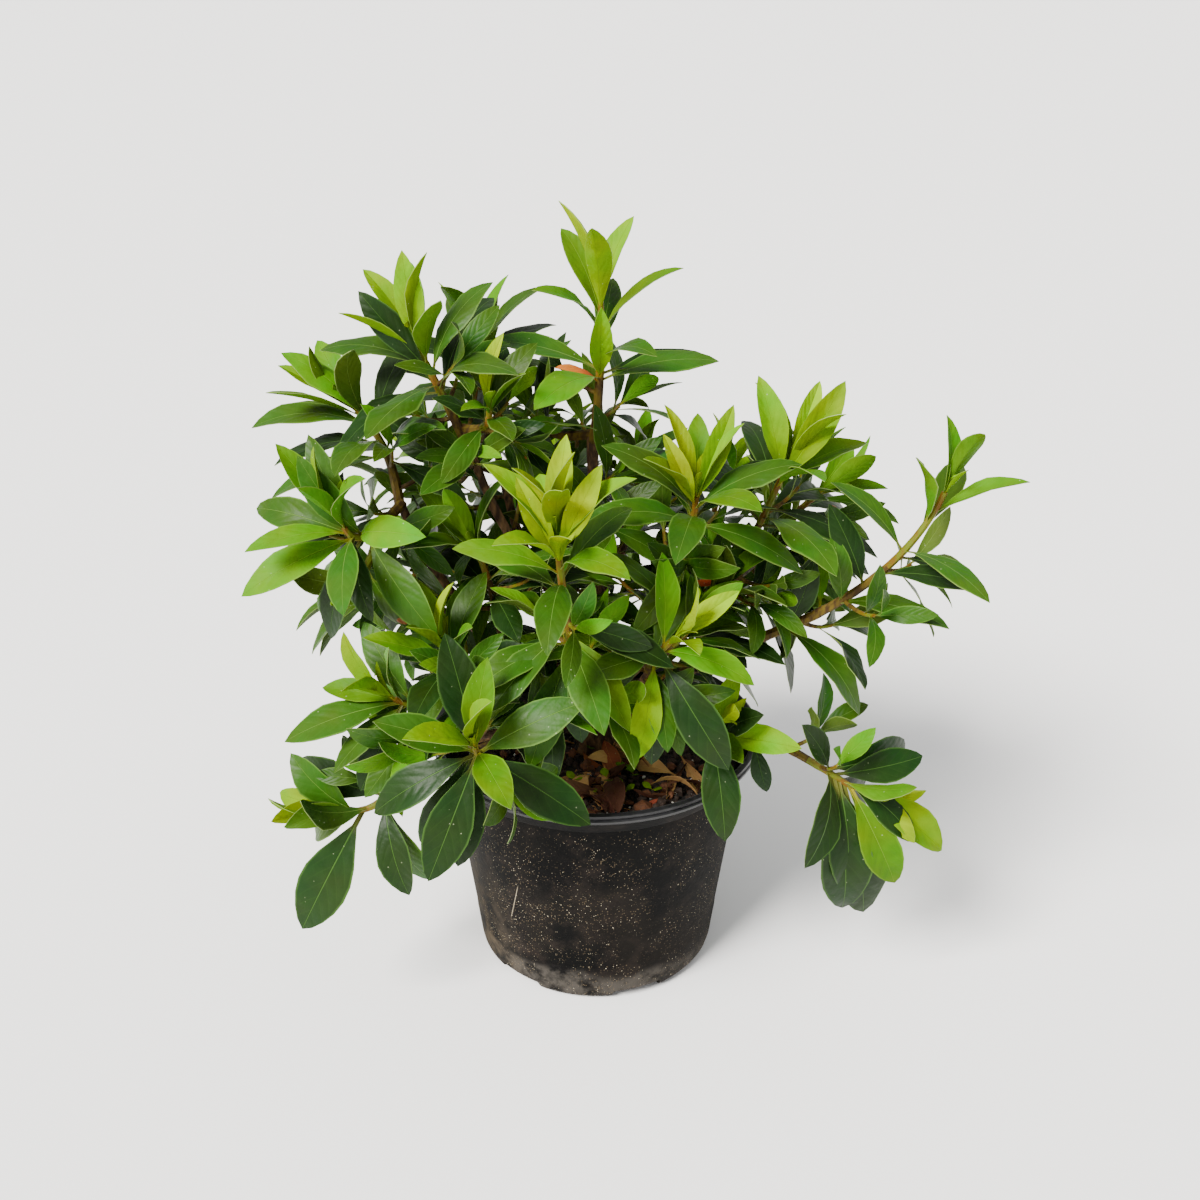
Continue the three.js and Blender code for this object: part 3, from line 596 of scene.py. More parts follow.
# %% Shoots of the plant
SHOOTS = [
    ("top", "bough_top", 73, 8, 220, (140, 87), 250, dict(flush=0.75, whorl=3, tip=8, tip_from=0.5,
     tip_size=(0.86, 0.96), spread=62, erect=24, sag=0.02, far=[(0.36, 201, 27, 43), (0.4, 3, 9, 54),
     (0.42, 272, 62, 41, 0.6)])),
    ("right_far", "bough_right_far", 345, 152, 150, (350, 72), 20, dict(flush=0.45, whorl_at=0.62, whorl=2,
     tip=6, length=44, sag=0.1, far=[(0.05, 330, -41, 52), (0.06, 336, 73, 38), (0.3, 217, 76, 36),
     (0.42, 172, 65, 42), (0.28, 330, 0, 52), (0.5, 338, 0, 46), (0.2, 100, 40, 44)])),
    ("top_back", "bough_top", 135, 42, 164, (140, 65), 30, dict(flush=0.4, whorl=4, length=44)),
    ("left_top", "bough_left_top", 189, 75, 203, (187, 66), 60, dict(flush=0.7, whorl=5, spread=64,
     far=[(0.75, 184, 51, 44), (0.92, 205, 82, 46, 0.6)])),
    ("left_top_back", "branch_left_back", 143, 70, 186, (100, 80), 10, dict(flush=0.4, whorl=4, tip=6,
     spread=56, far=[(0.6, 5, 14, 48), (0.75, 10, 30, 44)])),
    ("left_centre", "bough_left_top", 209, 51, 181, (250, 80), 90,
     dict(flush=0.75, whorl=3, tip=8, length=38, spread=50)),
    ("left_high", "bough_left", 184, 104, 176, (184, 46), 205, dict(flush=0.5, whorl=4, spread=58,
     far=[(0.75, 186, 2, 52), (0.55, 190, -8, 48), (0.85, 176, 40, 46)])),
    ("left", "bough_left", 201, 114, 135, (220, 72), 192, dict(flush=0.45, whorl=5, tip=8, side=1, sag=0.06,
     spread=72, far=[(0.6, 198, -22, 56), (0.7, 291, -45, 40)])),
    ("left_under", "branch_left_under", 170, 112, 78, (185, -5), 210,
     dict(flush=0.1, whorl=2, tip=5, length=46, sag=0.2, spread=50)),
    ("front_left_high", "branch_left_front", 220, 83, 80, (215, 75), 80,
     dict(flush=0.75, whorl=4, length=42)),
    ("front_left", "bough_front_left", 244, 111, 62, (250, 62), 110, dict(flush=0.7, whorl=2, tip=6,
     length=48, sag=0.3, far=[(0.8, 222, -61, 58), (0.75, 350, -32, 56), (0.7, 185, -31, 52),
     (0.25, 195, -62, 52)])),
    ("left_mid", "branch_left_front", 215, 106, 63, (200, 45), 190, dict(flush=0.7, whorl=2, tip=6,
     length=42, far=[(0.85, 191, -15, 54), (0.85, 214, -58, 44)])),
    ("left_hang", "branch_left_low", 211, 128, 9, (190, 15), 200, dict(flush=0.85, whorl=2, tip=5,
     length=42, spread=58, sag=0.1, far=[(0.8, 202, -60, 66), (0.9, 175, 46, 40), (0.85, 198, 20, 42, 0.6),
     (0.45, 300, -62, 46)])),
    ("centre", "bough_front", 260, 85, 147, (250, 78), 300, dict(flush=1, whorl_at=0.36, whorl=4, tip=13,
     length=46, tip_size=(1.05, 0.92), sag=0.5, spread=82, erect=14, far=[(0.42, 314, -42, 50, 0.3),
     (0.3, 234, -58, 54), (0.33, 212, -13, 48), (0.3, 338, -83, 46), (0.85, 190, 66, 41, 1),
     (0.9, 348, 66, 43, 0.9), (0.8, 280, 40, 40, 0.9)])),
    ("front_low", "bough_front_right", 293, 81, 98, (330, 50), 290, dict(flush=0.9, whorl=2, tip=6,
     length=40, sag=0.3, far=[(0.6, 245, -67, 44, 0.5), (0.7, 330, -53, 58), (0.5, 270, -75, 46)])),
    ("front_rim", "bough_right_low", 313, 77, 47, (320, 45), 20, dict(flush=1, whorl=1, tip=4, length=36,
     sag=0.1, far=[(0.9, 282, -56, 50), (0.6, 335, 5, 42, 0.4), (0.15, 325, -72, 38)])),
    ("right_front", "bough_right", 324, 53, 145, (250, 82), 200, dict(flush=0.76, whorl_at=0.55, whorl=4,
     length=48, spread=66, erect=26, far=[(0.8, 0, 25, 50), (0.9, 15, 70, 46, 0.85),
     (0.85, 195, 66, 38, 1)])),
    ("right_high", "branch_right_high", 352, 85, 153, (0, 70), 10, dict(flush=0.72, tip=6, length=50,
     tip_size=(1, 0.84), spread=66, erect=24, far=[(0.8, 6, 60, 54, 0.7), (0.85, 162, 75, 48, 0.6),
     (0.7, 233, 53, 44, 0.3)])),
    ("right_back", "branch_right_back", 18, 114, 122, (5, 25), 0, dict(flush=0.3, whorl=4, tip=6, length=42,
     side=1, spread=54, far=[(0.9, 345, -12, 54)])),
    ("right_mid", "branch_right_high", 11, 84, 102, (20, 45), 20, dict(flush=0.3, whorl=5)),
    ("right_hang", "bough_right_low", 336, 128, 12, (345, -30), 15, dict(flush=0.9, whorl_at=0.6, whorl=2,
     tip=5, length=42, sag=0.5, tip_from=0.76, far=[(0.7, 315, -80, 70), (0.78, 303, -78, 56),
     (0.85, 0, -78, 76), (0.88, 341, -37, 42), (0.7, 10, 7, 44), (0.95, 338, -62, 54, 0.5),
     (1, 354, -36, 54, 0.5)])),
    ("centre_back", "branch_centre_back", 70, 62, 123, (70, 75), 0, dict(flush=0.3, whorl=5, length=42)),
    ("inner_left", "branch_inner_left", 208, 58, 116, (190, 70), 200, dict(flush=0.2, tip=6)),
    ("inner_right", "bough_front_right", 333, 56, 92, (340, 60), 60, dict(flush=0.2, whorl=5, tip=6)),
    ("back_high", "bough_back", 100, 98, 114, (95, 65), 25, dict(flush=0.7, tip=9)),
    ("back_low", "bough_back", 82, 118, 66, (80, 30), 75, dict(flush=0.5)),
    ("back_left_high", "branch_left_back", 138, 108, 122, (138, 55), 130, dict(flush=0.6, side=1)),
    ("back_left_low", "bough_back_left", 132, 118, 60, (130, 25), 15, dict(flush=0.4)),
    ("back_right_high", "bough_back_right", 52, 104, 104, (45, 60), 95, dict(flush=0.6, side=1)),
    ("back_right_low", "bough_back_right", 56, 110, 50, (52, 20), 45, dict(flush=0.4)),
]
HABIT = dict(length=LEAF["length"], side=0, tip_size=(1.05, 0.86), whorl=6, whorl_at=0.42, tip=7,
             tip_from=0.66, spread=68, erect=20, sag=0.18, far=[])
print("shoots:", len(SHOOTS))

# %% Directions, curves and dice
UP = np.array([0.0, 0.0, 1.0])


def unit(vector):
    return vector / np.linalg.norm(vector)


def mixed(a, b, share):
    return a + (b - a) * share


def toward(heading, climb):
    h, c = math.radians(heading), math.radians(climb)
    return np.array([math.cos(c) * math.cos(h), math.cos(c) * math.sin(h), math.sin(c)])


def spot(heading, reach, height):
    place = toward(heading, 0) * reach
    place[2] = SOIL_TOP + height
    return place


class Curve:
    """A curve with three points: where it starts, where it bends to, and where it ends."""

    def __init__(self, start, middle, end):
        self.start, self.middle, self.end = start, middle, end

    def point(self, t):
        return self.start * (1 - t) ** 2 + self.middle * 2 * t * (1 - t) + self.end * t * t

    def tangent(self, t):
        return unit(self.point(min(t + 1e-4, 1)) - self.point(max(t - 1e-4, 0)))

    def length(self):
        points = [self.point(i / 200) for i in range(201)]
        return sum(np.linalg.norm(b - a) for a, b in zip(points, points[1:]))


def dice(seed):
    state = seed

    def roll():
        nonlocal state
        state = state * 16807 % 2147483647
        return state / 2147483647

    return roll


def spin(along, turn, tilt):
    """A direction that leans away from "along" by tilt, at the given turn round it."""
    turn, tilt = math.radians(turn), math.radians(tilt)
    right = unit(np.array([1.0, 0.0, 0.0]) - along * along[0])
    other = np.cross(along, right)
    return (along * math.cos(tilt) + right * (math.sin(tilt) * math.cos(turn))
            + other * (math.sin(tilt) * math.sin(turn)))


LIGHT = toward(270, 55)
print("light from", LIGHT.round(2))

# %% Grow the limbs and stems
def limb_curve(start, end, bow):
    middle = mixed(start, end, bow)
    middle[2] = mixed(start[2], end[2], 1 - bow)
    return Curve(start, middle, end)


def stem_curve(start, tip, aim):
    return Curve(start, tip - aim * (0.45 * np.linalg.norm(tip - start)), tip)


def grow_limbs():
    foot = np.array([0, TRUNK_Y, SOIL_TOP + CLEAR])
    head = np.array([TRUNK.lean[0], TRUNK_Y + TRUNK.lean[1], SOIL_TOP + TRUNK.height])
    trunk_curve = Curve(foot, np.array([foot[0], foot[1], head[2] - 14]), head)
    grown = {"trunk": SimpleNamespace(name="trunk", curve=trunk_curve, base=TRUNK.waist, tip=TRUNK.head)}
    for name, parent, at, heading, reach, height, radius, bow in BOUGHS:
        start = grown[parent].curve.point(min(at, 0.97))
        grown[name] = SimpleNamespace(
            name=name, curve=limb_curve(start, spot(heading, reach, height), bow), base=radius,
            tip=max(STEM_RADIUS, radius * 0.6))
    return grown


def side_stem(shoot, leader, number, roll):
    at = 0.3 + 0.25 * number + 0.1 * roll()
    turn = shoot["twist"] + 70 + 180 * number + 40 * roll()
    base = leader.point(at)
    away = spin(leader.tangent(at), turn, 48)
    size = max(24, (0.45 + 0.15 * roll()) * leader.length())
    curve = stem_curve(base, base + away * size, unit(mixed(away, UP, 0.35)))
    return {**shoot, "whorl": 0, "far": [], "length": 0.86 * shoot["length"], "twist": turn + 60,
            "steps": 3, "radius": TWIG_RADIUS, "curve": curve}


def grow_shoot(index, row):
    name, limb, heading, reach, height, aim, twist, more = row
    shoot = {**HABIT, **more, "twist": twist}
    mates = sum(other[1] == limb for other in SHOOTS)
    limb = limbs[limb]
    roll = dice(7001 + 97 * index)
    end, along = limb.curve.point(1), limb.curve.tangent(1)
    tip = spot(heading, reach, height)
    lateral = unit(tip - end - along * np.dot(tip - end, along))
    start = end + along * 0.2 + lateral * (1.9 if mates > 1 else 0)
    curve = stem_curve(start, tip, toward(*aim))
    stems = [{**shoot, "curve": curve, "radius": STEM_RADIUS, "steps": 4}]
    stems += [side_stem(shoot, curve, i, roll) for i in range(shoot["side"])]
    return SimpleNamespace(name=name, limb=limb, flush=shoot["flush"], stems=stems, roll=roll)


limbs = grow_limbs()
shoots = [grow_shoot(i, row) for i, row in enumerate(SHOOTS)]
print("limbs:", len(limbs), "stems:", sum(len(s.stems) for s in shoots))

# %% [markdown]
# Leaves and stems must not cut through each other. Each leaf is taken as a flat six-cornered body and
# each stretch of stem as a line with a thickness. Two such bodies are apart if some plane lies
# between them, which is tested along the few directions that such a plane can have.

# %% Bodies that keep clear of each other
def stretch(a, b, fat, owner, rank=0):
    return SimpleNamespace(points=np.array([a, b]), normals=np.zeros((0, 3)), edges=unit(b - a)[None],
                           middle=(a + b) / 2, size=np.linalg.norm(b - a) / 2, fat=fat, owner=owner,
                           rank=rank)


def leaf_body(root, along, face, length, width, owner, rank):
    across = unit(np.cross(face, along))

    def corner(share, half):
        drop = LEAF["keel"] if half else 0
        return root + along * (share * length) + across * (half * width) - face * drop

    p = np.array([corner(*c) for c in
                  ((0, 0), (1, 0), (0.38, 0.475), (0.72, 0.44), (0.38, -0.475), (0.72, -0.44))])
    sides = ((0, 1, 3), (0, 5, 1), (0, 2, 4), (2, 3, 5), (3, 1, 5))
    normals = np.array([unit(np.cross(p[b] - p[a], p[c] - p[a])) for a, b, c in sides])
    edges = np.array([along, across, *[unit(p[b] - p[a]) for a, b in ((0, 2), (0, 4), (3, 1), (5, 1))]])
    return SimpleNamespace(points=p, normals=normals, edges=edges, middle=(p[0] + p[1]) / 2, size=length / 2,
                           fat=0, owner=owner, rank=rank, root=root, along=along, face=face, length=length,
                           width=width)


def apart(a, b, gap):
    need = gap + a.fat + b.fat
    between = b.middle - a.middle
    if np.linalg.norm(between) > a.size + b.size + need:
        return True
    crosses = np.cross(a.edges[:, None], b.edges[None]).reshape(-1, 3)
    axes = np.vstack([a.normals, b.normals, crosses, between])
    sizes = np.linalg.norm(axes, axis=1)
    axes = axes[sizes > 1e-6] / sizes[sizes > 1e-6, None]
    span_a, span_b = a.points @ axes.T, b.points @ axes.T
    gaps = np.maximum(span_a.min(0) - span_b.max(0), span_b.min(0) - span_a.max(0))
    return bool((gaps > need).any())


MOST_BODIES = 6000


class Crowd:
    """All the bodies made so far, with their middles in one array for a quick first look."""

    def __init__(self):
        self.bodies, self.middles, self.sizes = [], np.zeros((MOST_BODIES, 3)), np.zeros(MOST_BODIES)

    def take(self, body):
        count = len(self.bodies)
        self.middles[count], self.sizes[count] = body.middle, body.size + body.fat
        self.bodies.append(body)

    def clear(self, body, gap, mate):
        """Whether the body keeps its gap to all the others that aren't its mates."""
        count = len(self.bodies)
        away = np.linalg.norm(self.middles[:count] - body.middle, axis=1)
        near = np.nonzero(away <= self.sizes[:count] + body.size + body.fat + gap)[0]
        return all(mate(self.bodies[i]) or apart(body, self.bodies[i], gap) for i in near)


def clear_of_pot(points):
    pairs = [(points[i] + points[j]) / 2 for i in range(len(points)) for j in range(i + 1, len(points))]
    spots = np.array([*pairs, *points])
    outside_rim = np.hypot(spots[:, 0], spots[:, 1]) > RIM + 2
    return bool(((spots[:, 2] > 6) & ((spots[:, 2] > POT_HEIGHT + 2) | outside_rim)).all())


def take_stretches(crowd, curve, radius_at, count, owner):
    for i in range(count):
        crowd.take(stretch(curve.point(i / count), curve.point((i + 1) / count), radius_at(i / count), owner))


woods, blades = Crowd(), Crowd()
for limb in limbs.values():
    take_stretches(woods, limb.curve, lambda t, b=limb: mixed(b.base, b.tip, t), 6, limb.name)
for shoot in shoots:
    for stem in shoot.stems:
        take_stretches(woods, stem["curve"], lambda t, r=stem["radius"]: r, stem["steps"], shoot.name)
print("stretches of wood:", len(woods.bodies))

# %% [markdown]
# Leaves turn about their stem from base to tip. A leaf that would touch another tries the places in a
# short list, each with more tilt, more turn and a share of its length. It is left out if none is free.

# %% Set the leaves
TRIES = [(0, 0, 1), (-14, 0, 1), (0, 24, 1), (0, -24, 1), (12, 0, 1), (-14, 30, 0.9), (-14, -30, 0.9),
         (0, 0, 0.72), (16, 40, 0.72), (16, -40, 0.72)]


def leaf_plans(stem, roll):
    for t, heading, climb, length, *young in stem["far"]:
        yield SimpleNamespace(t=t, way=toward(heading, climb), length=length, young=sum(young),
                              frontal=0.7 if abs(climb) > STEEP else 0)
    for i in range(stem["whorl"]):
        yield SimpleNamespace(
            t=stem["whorl_at"] + 0.03 * i, way=None, turn=stem["twist"] + TURN * i + 20 * (roll() - 0.5),
            tilt=80 + 14 * (roll() - 0.5), length=stem["length"] * (0.96 + 0.2 * roll()), sag=stem["sag"],
            young=0, frontal=0)
    for i in range(stem["tip"]):
        share = i / (stem["tip"] - 1)
        yield SimpleNamespace(
            t=mixed(stem["tip_from"], 0.985, share ** 0.8), way=None,
            turn=stem["twist"] + TURN * (stem["whorl"] + i) + 16 * (roll() - 0.5),
            tilt=mixed(stem["spread"], stem["erect"], share ** 0.9) + 10 * (roll() - 0.5),
            length=stem["length"] * mixed(*stem["tip_size"], share) * (0.92 + 0.16 * roll()),
            sag=stem["sag"] * (1 - share) * 0.5, young=share, frontal=0)


def facing(axis, along, young, frontal=0):
    """Young leaves turn their faces to the stem, older ones to the light, and hanging ones outward."""
    face = mixed(mixed(axis, LIGHT, 0.55 * (1 - young)), np.array([0.0, -1.0, 0.0]), frontal)
    return unit(face - along * np.dot(face, along))


def sunlit(root):
    """0 low over the mix, in the shade, and 1 in the sun."""
    return min(max((root[2] - SOIL_TOP) / LEAF["sunny"], 0), 1)


def slimness(root):
    """Leaves in the shade near the mix are broad, and those in the sun are slim."""
    return mixed(LEAF["broad"], LEAF["slim"], sunlit(root))


def set_leaf(stem, plan, owner, rank):
    axis = stem["curve"].tangent(plan.t)
    for tilt_more, turn_more, shorter in TRIES:
        length = plan.length * shorter
        along = plan.way
        if along is None:
            along = unit(spin(axis, plan.turn + turn_more, plan.tilt + tilt_more) - UP * plan.sag)
        root = stem["curve"].point(plan.t) - along * LEAF["sunk"]
        width = length * (slimness(root) - LEAF["slimmer"] * plan.young)
        face = facing(axis, along, plan.young, plan.frontal)
        leaf = leaf_body(root, along, face, length, width, owner, rank)
        if (clear_of_pot(leaf.points) and woods.clear(leaf, 2 * CLEAR, lambda b: b.owner == owner)
                and blades.clear(leaf, 2 * CLEAR, lambda b: b.owner == owner and b.rank == rank)):
            leaf.young = plan.young
            return leaf
    return None


leaves = []
for shoot in shoots:
    for rank, stem in enumerate(shoot.stems):
        for plan in list(leaf_plans(stem, shoot.roll)):
            leaf = set_leaf(stem, plan, shoot.name, rank)
            if leaf is not None:
                blades.take(leaf)
                leaves.append(leaf)
print("leaves of the rule:", len(leaves))

# %% [markdown]
# The CAD model carries only the leaves that its weight allows. The real crown is denser inside: short
# twigs with older, darker leaves stand along the boughs and the lower part of each stem, and every
# stem ends in a bud of tiny new leaves. They follow the same rule and keep clear of what is there.

# %% Grow finer twigs
BARE_FOOT = 48
BARE_BOUGHS = ("bough_right_low", "bough_right_far")
FINE = dict(whorl=0, tip_from=0.45, tip_size=(1, 0.8), spread=72, erect=30, sag=0.2, far=[])
FINE_RADIUS = 0.75


def fine_twig(parent, at, turn, tilt, size, length, roll, owner):
    """A short side twig with its leaves, if it has room for itself and at least two of them."""
    base = parent.point(at)
    away = spin(parent.tangent(at), turn, tilt)
    curve = stem_curve(base, base + away * size, unit(mixed(away, UP, 0.3)))
    pieces = [stretch(curve.point(a), curve.point(b), FINE_RADIUS, owner, "fine")
              for a, b in ((0.15, 0.5), (0.5, 1))]
    if not all(clear_of_pot(p.points) and blades.clear(p, CLEAR, lambda b: False) for p in pieces):
        return None
    foot = [SOIL_TOP + (BARE_FOOT if np.hypot(p[0], p[1]) < RIM + 12 else 20) for p in pieces[1].points]
    if any(p[2] < least for p, least in zip(pieces[1].points, foot)):
        return None
    rank = ("fine", len(fine_twigs))
    stem = {**FINE, "curve": curve, "twist": turn + 40, "length": length, "tip": 4 + int(2.9 * roll())}
    found = []
    for plan in list(leaf_plans(stem, roll)):
        leaf = set_leaf(stem, plan, owner, rank)
        if leaf is not None and leaf.points[1][2] > POT_HEIGHT + 8:
            leaf.young = 0.25 * plan.young
            found.append(leaf)
    if len(found) < 2:
        return None
    for leaf in found:
        blades.take(leaf)
    for piece in pieces:
        woods.take(piece)
    leaves.extend(found)
    return curve


def grow_fine_twigs():
    """Twigs along every stem's lower part and along the outer part of every bough."""
    for number, shoot in enumerate(shoots):
        roll = dice(3301 + 53 * number)
        along_bough = () if shoot.limb.name in BARE_BOUGHS else (0.55, 0.7, 0.85, 0.96)
        for parent, spots in ((shoot.stems[0]["curve"], (0.12, 0.3, 0.52)), (shoot.limb.curve, along_bough)):
            for k, at in enumerate(spots):
                for attempt in range(3):
                    twig = fine_twig(parent, at + 0.04 * roll(), TURN * k + 120 * attempt + 60 * roll(),
                                     50 + 25 * roll(), 12 + 14 * roll(), 30 + 14 * roll(), roll, shoot.name)
                    if twig is not None:
                        fine_twigs.append(twig)
                        break


def set_buds():
    """Small new leaves that stand upright at each stem's tip."""
    for number, shoot in enumerate(shoots):
        roll = dice(9103 + 31 * number)
        for rank, stem in enumerate(shoot.stems):
            tip, axis = stem["curve"].point(0.99), stem["curve"].tangent(1)
            for i in range(4):
                along = spin(axis, TURN * i + 30 * roll(), 7 + 6 * i + 6 * roll())
                length = 8 + 3.2 * i + 3 * roll()
                leaf = leaf_body(tip, along, facing(axis, along, 1), length, 0.27 * length, shoot.name, rank)
                if blades.clear(leaf, 0.1, lambda b, n=shoot.name, r=rank: b.owner == n and b.rank == r):
                    leaf.young = 1.1
                    blades.take(leaf)
                    leaves.append(leaf)


fine_twigs = []
grow_fine_twigs()
set_buds()
print("fine twigs:", len(fine_twigs), "leaves in all:", len(leaves))

# %% [markdown]
# One leaf is modelled: a narrow grid whose cross rows are resized to the leaf's outline, with
# a short stalk, a pointed tip and a little thickness. The lesson then keeps its points as numbers, and
# each leaf on the plant is a copy of them, arched, folded and twisted in its own way.

# %% Model one leaf
LEAF_ROWS = 9
STALK = 0.085


def outline(s):
    """Half the leaf's width at the share s of its length, for a leaf one unit wide."""
    blade = max(0.0, (s - STALK * 0.8) / (1 - STALK * 0.8))
    swell = 0.5 * math.sin(math.pi * blade ** 1.18) ** mixed(1.15, 0.8, blade) if blade < 1 else 0.0
    return max(swell, 0.045 * (s < 0.5))


def model_leaf(name):
    deselect()
    bpy.ops.mesh.primitive_grid_add(x_subdivisions=4, y_subdivisions=LEAF_ROWS, size=1, location=(0, 0.5, 0))
    leaf = name_it(name)
    at_origin(leaf)
    bpy.ops.object.mode_set(mode="EDIT")
    for row in range(LEAF_ROWS, -1, -1):
        even = row / LEAF_ROWS
        s = 1 - (1 - even) ** 1.2
        pick(leaf, lambda co, y=even: abs(co.y - y) < 0.01)
        share = max(2 * outline(s), 0.0001)
        bpy.ops.transform.resize(value=(share, 1, 1), center_override=(0, even, 0))
        bpy.ops.transform.translate(value=(0, s - even, 0))
    bpy.ops.mesh.select_all(action="SELECT")
    bpy.ops.mesh.remove_doubles(threshold=0.001)
    bpy.ops.object.mode_set(mode="OBJECT")
    skin = leaf.modifiers.new("thickness", "SOLIDIFY")
    skin.thickness = 0.006
    skin.offset = 0
    apply_all(leaf)
    return leaf


pattern = model_leaf("one_leaf")
leaf_points = np.array([v.co[:] for v in pattern.data.vertices])
leaf_faces = [tuple(p.vertices) for p in pattern.data.polygons]
leaf_sides = [0 if p.normal.z > 0.5 else 1 if p.normal.z < -0.5 else 2 for p in pattern.data.polygons]
leaf_rim = [min(abs(x) / max(outline(s), 0.01), 1.0) for x, s, z in leaf_points]
bpy.data.objects.remove(pattern, do_unlink=True)
print("one leaf:", len(leaf_faces), "faces")

# %% [markdown]
# A leaf is bent along an arc, folded up along its midrib, rolled at its margins and twisted a little.
# The arc's ends stay where the rule puts the leaf's base and tip.

# %% Bend and join leaves
def bent(leaf):
    """The places of one leaf's points, in millimetres."""
    x, s, z = leaf_points.T
    across = np.cross(leaf.along, leaf.face)
    half = leaf.bend / 2
    radius = leaf.length / (2 * math.sin(half))
    phi = leaf.bend * (s - 0.5)
    centre = (leaf.root + np.outer(leaf.length / 2 + radius * np.sin(phi), leaf.along)
              + np.outer(radius * (np.cos(phi) - math.cos(half)), leaf.face))
    normal = np.outer(np.cos(phi), leaf.face) + np.outer(np.sin(phi), leaf.along)
    turn = (leaf.twist * (s - 0.3))[:, None]
    aside = across * np.cos(turn) + normal * np.sin(turn)
    above = normal * np.cos(turn) - across * np.sin(turn)
    d = x * leaf.width
    rise = (np.abs(d) * math.sin(leaf.fold) - leaf.curl * d * d / leaf.width
            + leaf.wave * np.sin(9 * s + leaf.phase) * (2 * np.abs(x)) ** 3 * leaf.width)
    return centre + aside * (d * math.cos(leaf.fold))[:, None] + above * (rise + z * leaf.length)[:, None]


def habit(leaf, roll):
    """How a leaf is bent: old ones arch and flatten, young ones fold up along the midrib."""
    young = min(leaf.young, 1)
    leaf.bend = mixed(0.85, 0.5, young) + 0.9 * (roll() - 0.35)
    leaf.bend = leaf.bend if abs(leaf.bend) > 0.06 else 0.06
    leaf.fold = mixed(0.2, 0.5, young) + 0.2 * (roll() - 0.5)
    leaf.curl = mixed(0.35, -0.1, young) + 0.3 * (roll() - 0.5)
    leaf.twist = 0.7 * (roll() - 0.5)
    leaf.wave = mixed(0.16, 0.1, young) * roll()
    leaf.phase = 6.3 * roll()
    leaf.tint = roll()
    leaf.withered = leaf.young == 0 and leaf.length < 44 and leaf.tint > 0.972
    if leaf.withered:
        leaf.length, leaf.width, leaf.curl, leaf.bend = 0.55 * leaf.length, 0.5 * leaf.width, 0.9, 1.4


def new_piece(name, points, faces, finishes, looks=None):
    """A mesh from lists of points in millimetres; looks gives the number of each face's finish."""
    mesh = bpy.data.meshes.new(name)
    mesh.from_pydata((np.concatenate(points) * MM).tolist(), [], faces)
    for finish in finishes:
        mesh.materials.append(finish)
    if looks:
        mesh.polygons.foreach_set("material_index", looks)
    piece = bpy.data.objects.new(name, mesh)
    bpy.context.collection.objects.link(piece)
    select(piece)
    return piece


def copied(faces, step, count):
    """The faces of count copies of a form that has step points."""
    return [tuple(i * step + k for k in face) for i in range(count) for face in faces]


def join_leaves(name, group, finishes, look_of):
    """One mesh of many leaves. look_of gives a leaf's three finishes: face, back and margin."""
    faces = copied(leaf_faces, len(leaf_points), len(group))
    looks = [look[side] for look in map(look_of, group) for side in leaf_sides]
    piece = new_piece(name, [bent(leaf) for leaf in group], faces, finishes, looks)
    mesh = piece.data
    tints = [leaf.tint for leaf in group for _ in leaf_faces]
    mesh.attributes.new("tint", "FLOAT", "FACE").data.foreach_set("value", tints)
    mesh.attributes.new("rim", "FLOAT", "POINT").data.foreach_set("value", leaf_rim * len(group))
    flat = np.tile(leaf_points[:, :2], (len(group), 1))[[v for face in faces for v in face]]
    uv = (flat + [0.5, 0]).astype(np.float32)
    mesh.uv_layers.new(name="blade").data.foreach_set("uv", uv.ravel())
    bpy.ops.object.shade_smooth_by_angle(angle=math.radians(55))
    return piece


roll = dice(4421)
for leaf in leaves:
    habit(leaf, roll)
print("leaves bent:", len(leaves))

# %% [markdown]
# A leaf's face is glossy green with a pale midrib, a pale margin and faint side veins that run forward
# to it. They are drawn from the leaf's own map: u runs across the blade and v from base to tip. Two
# numbers help: "tint" makes each leaf a little lighter or darker, and "rim" grows to 1 at the margin.

